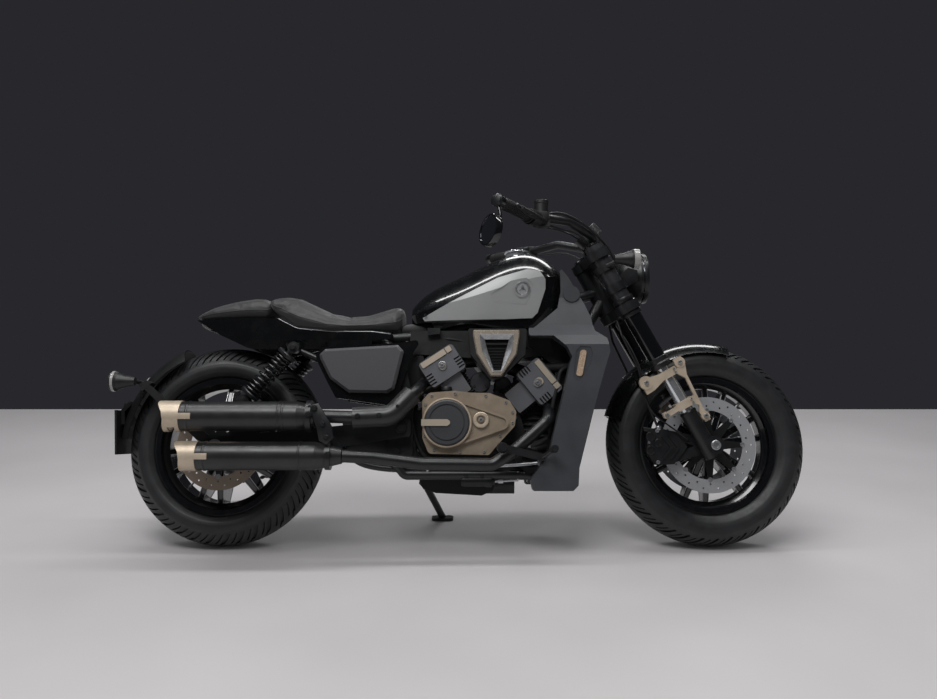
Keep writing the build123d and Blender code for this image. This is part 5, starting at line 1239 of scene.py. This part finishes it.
# ---------------------------------------------------------------- engine
CASE_HALF = 90
CASE_BOLTS = [
    (-150, 428), (-166, 350), (-150, 300), (-90, 252), (20, 246), (120, 254),
    (168, 330), (156, 400), (100, 462), (-20, 470), (40, 470),
]
ALTERNATOR = (50, 357)
ALTERNATOR_BOLT_R = 86
case_screws = bmesh.new()
for x, z in CASE_BOLTS:
    for hand in SIDES:
        seat(case_screws, socket_screw(4.5), (x, hand * CASE_HALF, z), (0, hand, 0))
cover_bolts = []
for degrees in (-80, -40, 0, 40, 80, 115):
    ahead = ALTERNATOR_BOLT_R * cos(radians(degrees))
    above = ALTERNATOR_BOLT_R * sin(radians(degrees))
    cover_bolts.append((ALTERNATOR[0] + ahead, ALTERNATOR[1] + above))
for x, z in cover_bolts + [(-26, 372), (-44, 330), (-12, 306)]:
    seat(case_screws, socket_screw(4.5), (x, 138, z), LEFTWARD)
keep("case_screws", case_screws, "chassis", STEEL)

fittings = bmesh.new()
filler = [(0, 0), (0, 17), (8, 17), (12, 15), (12, 0)]
seat(fittings, turned(filler, 24), (-62, -118, 484), UP)
spigot = [(0, 0), (0, 13), (26, 12), (28, 15), (34, 15), (34, 0)]
for x, z, y in ((96, 461, -60), (96, 461, 60), (-20, 486, 50)):
    seat(fittings, turned(spigot, 20), (x, y, z), (0.2, 0, 1))
for bank_angle in (-33, 51):
    bank = Matrix.Translation((50, 0, 367)) @ Matrix.Rotation(radians(bank_angle), 4, "Y")
    for hand in SIDES:
        plug = [(0, 0), (0, 16), (14, 15), (22, 11), (40, 10), (42, 0)]
        stamp(fittings, turned(plug, 20), [bank @ axis_frame((0, hand * 38, 282), UP)])
    for hand in SIDES:
        for x in (-46, 46):
            stamp(fittings, hex_screw(6), [bank @ axis_frame((x, hand * 82, 284), UP)])
keep("engine_fittings", fittings, "chassis", ABS)

clutch_rings = bmesh.new()
adjuster = [(0, 12), (0, 24), (3, 24.5), (5, 22), (5, 16), (2, 13), (0, 12)]
seat(clutch_rings, turned(adjuster, 32), (45, -161, 392), RIGHTWARD)
cap_ring = [(-2, 71), (0, 75), (4, 76), (7, 74), (7, 71), (-2, 71)]
seat(clutch_rings, turned(cap_ring, 64), (-60, -163, 384), RIGHTWARD)
keep("clutch_rings", clutch_rings, "chassis", BRONZE)

head_bosses = bmesh.new()
for x, z in ((-76, 562), (224, 508)):
    for hand in SIDES:
        dish = [(-1, 0), (-1, 14), (3, 14), (5, 12), (5, 9), (2.4, 7.5), (2.4, 0)]
        seat(head_bosses, turned(dish, 32), (x, hand * 129, z), (0, hand, 0))
keep("head_cover_bosses", head_bosses, "chassis", STEEL)

hoses = {
    "coolant_hose_top": ([(378, -96, 566), (330, -104, 560), (280, -84, 560), (222, -64, 556)], 15),
    "coolant_hose_low": ([(334, 104, 352), (290, 112, 330), (230, 104, 300), (178, 84, 296)], 15),
    "coolant_hose_right": ([(330, -104, 352), (286, -110, 350), (236, -106, 320), (186, -80, 300)], 13),
    "breather_hose": ([(-20, -40, 500), (-60, -70, 540), (-120, -70, 580), (-160, -40, 610)], 8),
    "fuel_hose": ([(-60, -30, 690), (-30, -70, 650), (20, -88, 640), (60, -60, 610)], 6),
    "wiring_loom": ([
        (-220, -100, 520), (-200, -118, 470), (-172, -112, 400), (-160, -104, 330), (-120, -96, 262),
        (40, -92, 236), (200, -100, 236)], 7),
    "front_loom": ([
        (300, -110, 560), (286, -124, 500), (268, -124, 430), (262, -118, 340), (246, -112, 262)], 7),
    "starter_lead": ([(-150, -96, 470), (-110, -112, 500), (-60, -104, 512), (-20, -70, 500)], 5),
    "plug_lead_front": ([(246, -40, 566), (236, -84, 600), (200, -100, 624), (150, -96, 640)], 4.5),
    "plug_lead_rear": ([(-124, -40, 636), (-100, -84, 652), (-50, -98, 650), (0, -90, 640)], 4.5),
}
for name, (points, radius) in hoses.items():
    cable(name, points, radius, "chassis", RUBBER)
    cable(f"{name}_left", [(x, -y, z) for x, y, z in points], radius, "chassis", RUBBER)

clips = bmesh.new()
for points, radius in (hoses["coolant_hose_top"], hoses["coolant_hose_right"]):
    for hand in SIDES:
        for end, near in ((0, 1), (-1, -2)):
            a, b = Vector(points[end]), Vector(points[near])
            a.y, b.y = hand * a.y, hand * b.y
            band = [(16, radius - 1), (16, radius + 2), (26, radius + 2), (26, radius - 1), (16, radius - 1)]
            seat(clips, turned(band, 24), a, b - a)
keep("hose_clips", clips, "chassis", STEEL)

bay_units = bmesh.new()
join(bay_units, plate([(222, 596), (286, 610), (276, 650), (214, 640)], -88, 88, 8))
join(bay_units, plate([(-150, 480), (-86, 470), (-60, 500), (-84, 540), (-140, 560)], -80, 80, 10))
keep("engine_bay_units", bay_units, "chassis", ABS)

# ---------------------------------------------------------------- exhaust
MUFFLER_Y = -218
HANGER_Y = -258  # the hanger's outer face
UPPER_Z = 402
UPPER_R = 44
LOWER_Z = 285
LOWER_R = 42


def muffler_band(radius):
    """A folded seam round a muffler."""
    root = radius - 1
    shoulder = radius + 0.8
    crown = radius + 1.8
    section = [(0, root), (0, shoulder), (1.5, crown), (5.5, crown), (7, shoulder), (7, root), (0, root)]
    return turned(section, 56)


def muffler_mouth(radius):
    """The recessed end of a muffler with its outlet."""
    section = [(2, 0), (2, 26), (-18, 26), (-20, 30), (-6, 34), (0, radius - 4), (2, radius - 3), (4, 0)]
    return turned(section, 40)


seams = bmesh.new()
outlets = bmesh.new()
for x in (-566, -553, -838):
    seat(seams, muffler_band(UPPER_R), (x, MUFFLER_Y, UPPER_Z), AHEAD)
for x in (-500, -783):
    seat(seams, muffler_band(LOWER_R), (x, MUFFLER_Y, LOWER_Z), AHEAD)
seat(outlets, muffler_mouth(UPPER_R), (-855, MUFFLER_Y, UPPER_Z), AHEAD)
seat(outlets, muffler_mouth(LOWER_R), (-800, MUFFLER_Y, LOWER_Z), AHEAD)
keep("muffler_seams", seams, "chassis", HEATPROOF)
keep("muffler_outlets", outlets, "chassis", HEATPROOF)

guard_screws = bmesh.new()
for spot, turn_back, size in (
    ((-326, -238, 402), 0, 6),
    ((-262, -235, 404), 0, 6),
    ((-208, -222, 432), 0.1, 6),
    ((-182, -210, 462), 0.2, 6),
    ((-468, -266, 406), 0, 7),
    ((-408, -258, 289), 0, 7),
):
    seat(guard_screws, hex_screw(size), spot, (turn_back, -1, 0))
keep("heat_shield_screws", guard_screws, "chassis", POWDER)

hanger = bmesh.new()
bracket = [(-474, 432), (-440, 440), (-398, 372), (-392, 338), (-414, 318), (-436, 330), (-446, 372)]
join(hanger, plate(bracket, HANGER_Y + 6, HANGER_Y, 3))
for x, z in ((-452, 424), (-414, 340), (-426, 378)):
    seat(hanger, hex_screw(7), (x, HANGER_Y, z), RIGHTWARD)
keep("muffler_hanger", hanger, "chassis", POWDER)

# ---------------------------------------------------------------- tank, tail and body details
FILLER_X = 170
cap_parts = bmesh.new()
cap_flange = [(0, 30), (0, 42), (3, 43), (6, 41), (6, 30), (0, 30)]
seat(cap_parts, turned(cap_flange, 48), (FILLER_X, 0, 950), UP)
lock = [(0, 0), (0, 12), (3, 12), (4, 10), (4, 0)]
seat(cap_parts, turned(lock, 24), (FILLER_X, 0, 955), UP)
for n in range(6):
    seat(cap_parts, socket_screw(3), (FILLER_X + 36 * cos(pi * n / 3), 36 * sin(pi * n / 3), 956), UP)
keep("filler_cap_ring", cap_parts, "chassis", CHROME)

badges = bmesh.new()
for hand in SIDES:
    badge_place = axis_frame((179.2, hand * 146.4, 804.8), (0.08, hand, -0.2))
    rim = [(0, 17), (0, 24), (2.4, 24), (3, 22.5), (3, 19), (2, 18), (0, 17)]
    stamp(badges, turned(rim, 48), [badge_place])
    for n in range(3):
        petal = plate([(0, -13), (4.5, -5), (3, 3), (-3, 3), (-4.5, -5)], 0, 2.2, 0.5)
        turn = Matrix.Rotation(2 * pi * n / 3, 4, "Z") @ Matrix.Rotation(pi / 2, 4, "X")
        stamp(badges, petal, [badge_place @ turn])
keep("tank_badges", badges, "chassis", STEEL)

tail_lens = plate([(-873, 704), (-865, 694), (-835, 680), (-843, 694), (-869, 710)], -42, 42, 3)
keep("tail_lamp", tail_lens, "chassis", LAMP_GLASS)

mudguard_screws = bmesh.new()
for x, y, z in ((-1030, 94, 470), (-1100, 40, 440), (-1100, 40, 400)):
    for hand in SIDES:
        seat(mudguard_screws, hex_screw(6), (x, hand * y, z), (0, hand, 0))
keep("mudguard_screws", mudguard_screws, "chassis", POWDER)

# ---------------------------------------------------------------- pegs and stand
pegs = bmesh.new()
for hand in SIDES:
    for n in range(9):
        ridge = [(0, 12), (0, 15.5), (1, 16), (5, 16), (6, 15.5), (6, 12), (0, 12)]
        seat(pegs, turned(ridge, 28), (106, hand * (224 + 8.5 * n), 309.5), (0, hand, 0.01))
    pad = [(0, 9), (0, 11.5), (30, 12), (34, 10), (34, 9), (0, 9)]
    seat(pegs, turned(pad, 24), (258.6, hand * 232, 304.6), (0.05, hand, 0.05))
keep("peg_rubbers", pegs, "chassis", RUBBER)
linkage = bmesh.new()
for hand in SIDES:
    rod = [(226, hand * 132, 262), (160, hand * 134, 256), (40, hand * 132, 250), (-120, hand * 132, 262)]
    join(linkage, bent(rod, 5, 12))
    join(linkage, bent([rod[-1], moored(rod[-1], "chassis")], 6, 12))
    for x, z in ((226, 262), (-120, 262)):
        pivot = [(-6, 0), (-6, 9), (6, 9), (6, 0)]
        seat(linkage, turned(pivot, 18), (x, hand * 132, z), LEFTWARD)
keep("pedal_linkage", linkage, "chassis", STEEL)

grip_rings = bmesh.new()
for hand in SIDES:
    inner_end = Vector((194.6, hand * 282, 1008.3))
    outer_end = Vector((102.6, hand * 402, 1018.3))
    heading = (outer_end - inner_end).normalized()
    for n in range(13):
        ridge = [(0, 16), (0, 18.6), (0.8, 19.2), (4, 19.2), (4.8, 18.6), (4.8, 16), (0, 16)]
        seat(grip_rings, turned(ridge, 28), inner_end + heading * (16 + 9.2 * n), heading)
keep("grip_ridges", grip_rings, "steering", RUBBER)


# ---------------------------------------------------------------- inside the engine bay
starter = bmesh.new()
motor = [(-74, 0), (-74, 30), (-68, 34), (52, 34), (56, 30), (58, 14), (74, 12), (74, 0)]
seat(starter, turned(motor, 36), (44, 0, 512), LEFTWARD)
thermostat = [(-40, 0), (-40, 24), (-34, 28), (30, 28), (40, 20), (40, 0)]
seat(starter, turned(thermostat, 28), (118, 0, 506), LEFTWARD)
for y in (-46, 46):
    throttle = [(-30, 0), (-30, 27), (-24, 30), (24, 30), (30, 26), (30, 0)]
    seat(starter, turned(throttle, 32), (92, y, 556), UP)
for x, z in ((44, 534), (25, 501), (63, 501)):
    seat(starter, socket_screw(4.5), (x, -73, z), RIGHTWARD)
keep("starter_and_throttles", starter, "chassis", CAST_GREY)



def slat(x, z, length, height):
    """The side view of a level slat, from its lower rear corner."""
    return [(x, z), (x + length, z), (x + length, z + height), (x, z + height)]


liners = bmesh.new()
for hand in SIDES:
    duct = [(262, 300), (300, 292), (352, 588), (310, 640), (250, 650), (236, 600), (284, 560), (276, 420)]
    join(liners, plate(duct, hand * 84, hand * 90, 2))
    for n in range(7):
        louvre = slat(268 + 7.4 * n, 330 + 34 * n, 32, 5)
        join(liners, plate(louvre, hand * 88, hand * 94, 1))
    rear_duct = [(-196, 470), (-150, 458), (-112, 500), (-128, 560), (-150, 640), (-196, 644)]
    join(liners, plate(rear_duct, hand * 84, hand * 92, 2))
    for x, z in ((-180, 490), (-140, 520), (-168, 600)):
        seat(liners, hex_screw(5), (x, hand * 92, z), (0, hand, 0))
keep("bay_liners", liners, "chassis", ABS)

regulator = bmesh.new()
for n in range(9):
    join(regulator, plate(slat(196 + 7 * n, 196, 3, 30), -60, 60, 0.6))
join(regulator, plate(slat(192, 220, 70, 12), -64, 64, 2))
keep("voltage_regulator", regulator, "chassis", CAST_BLACK)


# ---------------------------------------------------------------- painted highlight on the tail's crease
cowl_skin = skin_of([nodes["tail_cowl"]])
# A bright steel line along the cowl's side crease: a painted highlight that stands in for the lamps' reflection in
# the gloss black paint.
crease_highlight = bmesh.new()
for hand in SIDES:
    line = [
        (-604, hand * 130, 748), (-570, hand * 135, 716), (-536, hand * 138, 700),
        (-440, hand * 138, 688), (-320, hand * 130, 674), (-226, hand * 110, 662),
    ]
    join(crease_highlight, bent([nearest(cowl_skin, point, 0.2) for point in smooth_run(line, 5)], 1.1, 8))
keep("painted_cowl_highlight", crease_highlight, "chassis", STEEL, 60)


# ---------------------------------------------------------------- swingarm pivot
pivot_plates = bmesh.new()
for hand in SIDES:
    outline = [(-392, 398), (-232, 404), (-160, 330), (-150, 250), (-250, 262), (-376, 300)]
    join(pivot_plates, plate(outline, hand * 98, hand * 108, 3))
    rib = [(-360, 384), (-240, 388), (-186, 330), (-196, 318), (-250, 372), (-358, 368)]
    join(pivot_plates, plate(rib, hand * 107, hand * 112, 1.5))
    for x, z in ((-350, 345), (-262, 330), (-178, 292), (-216, 306)):
        seat(pivot_plates, hex_screw(6), (x, hand * 109, z), (0, hand, 0))
join(pivot_plates, bent([(-201, -120, 369), (-201, 120, 369)], 14, 20))
keep("pivot_plates", pivot_plates, "chassis", POWDER)

lower_rails = bmesh.new()
for hand in SIDES:
    rail = [(-384, hand * 100, 300), (-330, hand * 100, 262), (-260, hand * 100, 246), (-150, hand * 98, 240)]
    rail = [moored(rail[0], "chassis")] + rail + [moored((-110, hand * 96, 240), "chassis")]
    join(lower_rails, bent(smooth_run(rail, 5), 11, 14))
keep("lower_rails", lower_rails, "chassis", POWDER)


# ---------------------------------------------------------------- oil cooler and rear brake
cooler = plate([(150, 262), (252, 262), (286, 330), (282, 430), (244, 468), (158, 446)], -58, 58, 6)
for n in range(8):
    join(cooler, plate(slat(172, 286 + 18 * n, 92, 6), -66, 66, 1))
for x, z in ((190, 276), (240, 280), (178, 440), (250, 448)):
    for hand in SIDES:
        seat(cooler, hex_screw(6), (x, hand * 59, z), (0, hand, 0))
keep("oil_cooler", cooler, "chassis", CAST_BLACK)

BRAKE_Y = -112
BRAKE_Z = 206
barrel = [(-34, 0), (-34, 13), (-28, 16), (40, 16), (44, 18), (60, 18), (62, 12), (70, 9), (70, 0)]
brake = bmesh.new()
seat(brake, turned(barrel, 28), (18, BRAKE_Y, BRAKE_Z), AHEAD)
for x in (0, 48):
    join(brake, bent([(x, BRAKE_Y, BRAKE_Z), moored((x, BRAKE_Y, BRAKE_Z + 20), "chassis")], 7, 12))
keep("rear_brake_cylinder", brake, "chassis", CAST_BLACK)
rod_eye = (160, -114, 210)
lock_nut = [(-6, 0), (-6, 8), (10, 8), (10, 0)]
push_rod = bmesh.new()
join(push_rod, bent([(84, BRAKE_Y, BRAKE_Z), rod_eye], 4.5, 12))
seat(push_rod, turned(lock_nut, 6), (104, -112.5, 207), AHEAD)
join(push_rod, bent([rod_eye, moored((160, -114, 230), "chassis")], 5, 12))
keep("brake_push_rod", push_rod, "chassis", STEEL)


# ---------------------------------------------------------------- under the tank
saddle = [(-212, 672), (-108, 672), (-108, 703.5), (-180, 703.5), (-200, 700), (-212, 690)]
keep("tank_rear_bridge", plate(saddle, -57, 57, 3), "chassis", ABS)


# ---------------------------------------------------------------- air intake
INTAKE_MOUTH = [(55, 642), (135, 642), (121, 592), (107, 542), (85, 542), (69, 592)]
INTAKE_RIM = [(40, 656), (148, 656), (143, 606), (109, 537), (81, 537), (47, 606)]


INTAKE_MIDDLE = Vector((95, 600))


def drawn_in(outline, y, scale):
    """The points of a side view's outline at a distance to the left, scaled about the intake's middle."""
    spots = [INTAKE_MIDDLE + (Vector(point) - INTAKE_MIDDLE) * scale for point in outline]
    return [(spot.x, y, spot.y) for spot in spots]


BAR_PITCH = 4.6
intake_trim = bmesh.new()
intake_bars = bmesh.new()
for hand in SIDES:
    layers = [
        drawn_in(INTAKE_RIM, hand * 178.6, 1.0),
        drawn_in(INTAKE_MOUTH, hand * 165.2, 1.0),
        drawn_in(INTAKE_MOUTH, hand * 167.0, 0.96),
        drawn_in(INTAKE_RIM, hand * 180.4, 0.985),
    ]
    loops = []
    for layer in layers:
        ring = [intake_trim.verts.new(spot) for spot in layer]
        loops.append([intake_trim.edges.new(pair) for pair in zip(ring, ring[1:] + ring[:1])])
    for first, second in zip(loops, loops[1:] + loops[:1]):
        bmesh.ops.bridge_loops(intake_trim, edges=first + second)
    for n in range(-7, 8):
        off_middle = BAR_PITCH * n
        x = INTAKE_MIDDLE.x + off_middle
        low = 544 + max(0, abs(off_middle) - 10) * 3.3  # on the slope of the mouth's sides
        bar = [(x - 0.7, low), (x + 0.7, low), (x + 0.7, 640), (x - 0.7, 640)]
        join(intake_bars, plate(bar, hand * 156, hand * 158))
keep("intake_trim", intake_trim, "chassis", STEEL, 20)
keep("intake_bars", intake_bars, "chassis", POWDER)


# ---------------------------------------------------------------- floor and light
FLOOR_SIZE = (12, 5)


def studio_floor():
    """A pale floor with a straight far edge."""
    bm = bmesh.new()
    bmesh.ops.create_grid(bm, x_segments=1, y_segments=1, size=0.5)
    bmesh.ops.scale(bm, vec=(*FLOOR_SIZE, 1), verts=bm.verts)
    mesh = bpy.data.meshes.new("floor")
    bm.to_mesh(mesh)
    bm.free()
    floor = bpy.data.objects.new("floor", mesh)
    bpy.context.scene.collection.objects.link(floor)
    material, tree, shader = surface("floor_tile", "B2AFB0", 0.45)
    between(tree, shader, "Base Color", noise(tree, 900, 3), "AEABAC", "B6B3B4")
    mesh.materials.append(material)


def lamp(name, place, look_at, size, watts):
    """A large soft rectangular lamp."""
    data = bpy.data.lights.new(name, "AREA")
    data.shape = "RECTANGLE"
    data.size, data.size_y = size
    data.energy = watts
    holder = bpy.data.objects.new(name, data)
    bpy.context.scene.collection.objects.link(holder)
    holder.location = place
    holder.rotation_euler = (Vector(look_at) - Vector(place)).to_track_quat("-Z", "Y").to_euler()


studio_floor()
lamp("ceiling", (0, -0.2, 3.6), (0, 0, 0.4), (5.0, 0.3), 80)
lamp("key", (-1.0, -2.6, 4.2), (0, 0, 0.5), (3.0, 1.6), 130)
lamp("back_fill", (1.0, 3.0, 3.6), (0, 0, 0.5), (3.0, 0.8), 45)

world = bpy.data.worlds.new("studio")
bpy.context.scene.world = world
world.use_nodes = True
sky = world.node_tree
sky.nodes.clear()
soft = put(sky, "ShaderNodeBackground", {"Color": linear("F4F6F8"), "Strength": 0.42})
wall = put(sky, "ShaderNodeBackground", {"Color": linear("28282C"), "Strength": 1.0})
ray = put(sky, "ShaderNodeLightPath").outputs
shown = ray["Is Camera Ray"]
for kind in ("Is Glossy Ray", "Is Transmission Ray"):
    shown = put(sky, "ShaderNodeMath", {0: shown, 1: ray[kind]}, operation="MAXIMUM").outputs["Value"]
choice = {0: shown, 1: soft.outputs["Background"], 2: wall.outputs["Background"]}
mixed = put(sky, "ShaderNodeMixShader", choice)
put(sky, "ShaderNodeOutputWorld", {"Surface": mixed.outputs["Shader"]})
bpy.context.scene.view_settings.view_transform = "Standard"
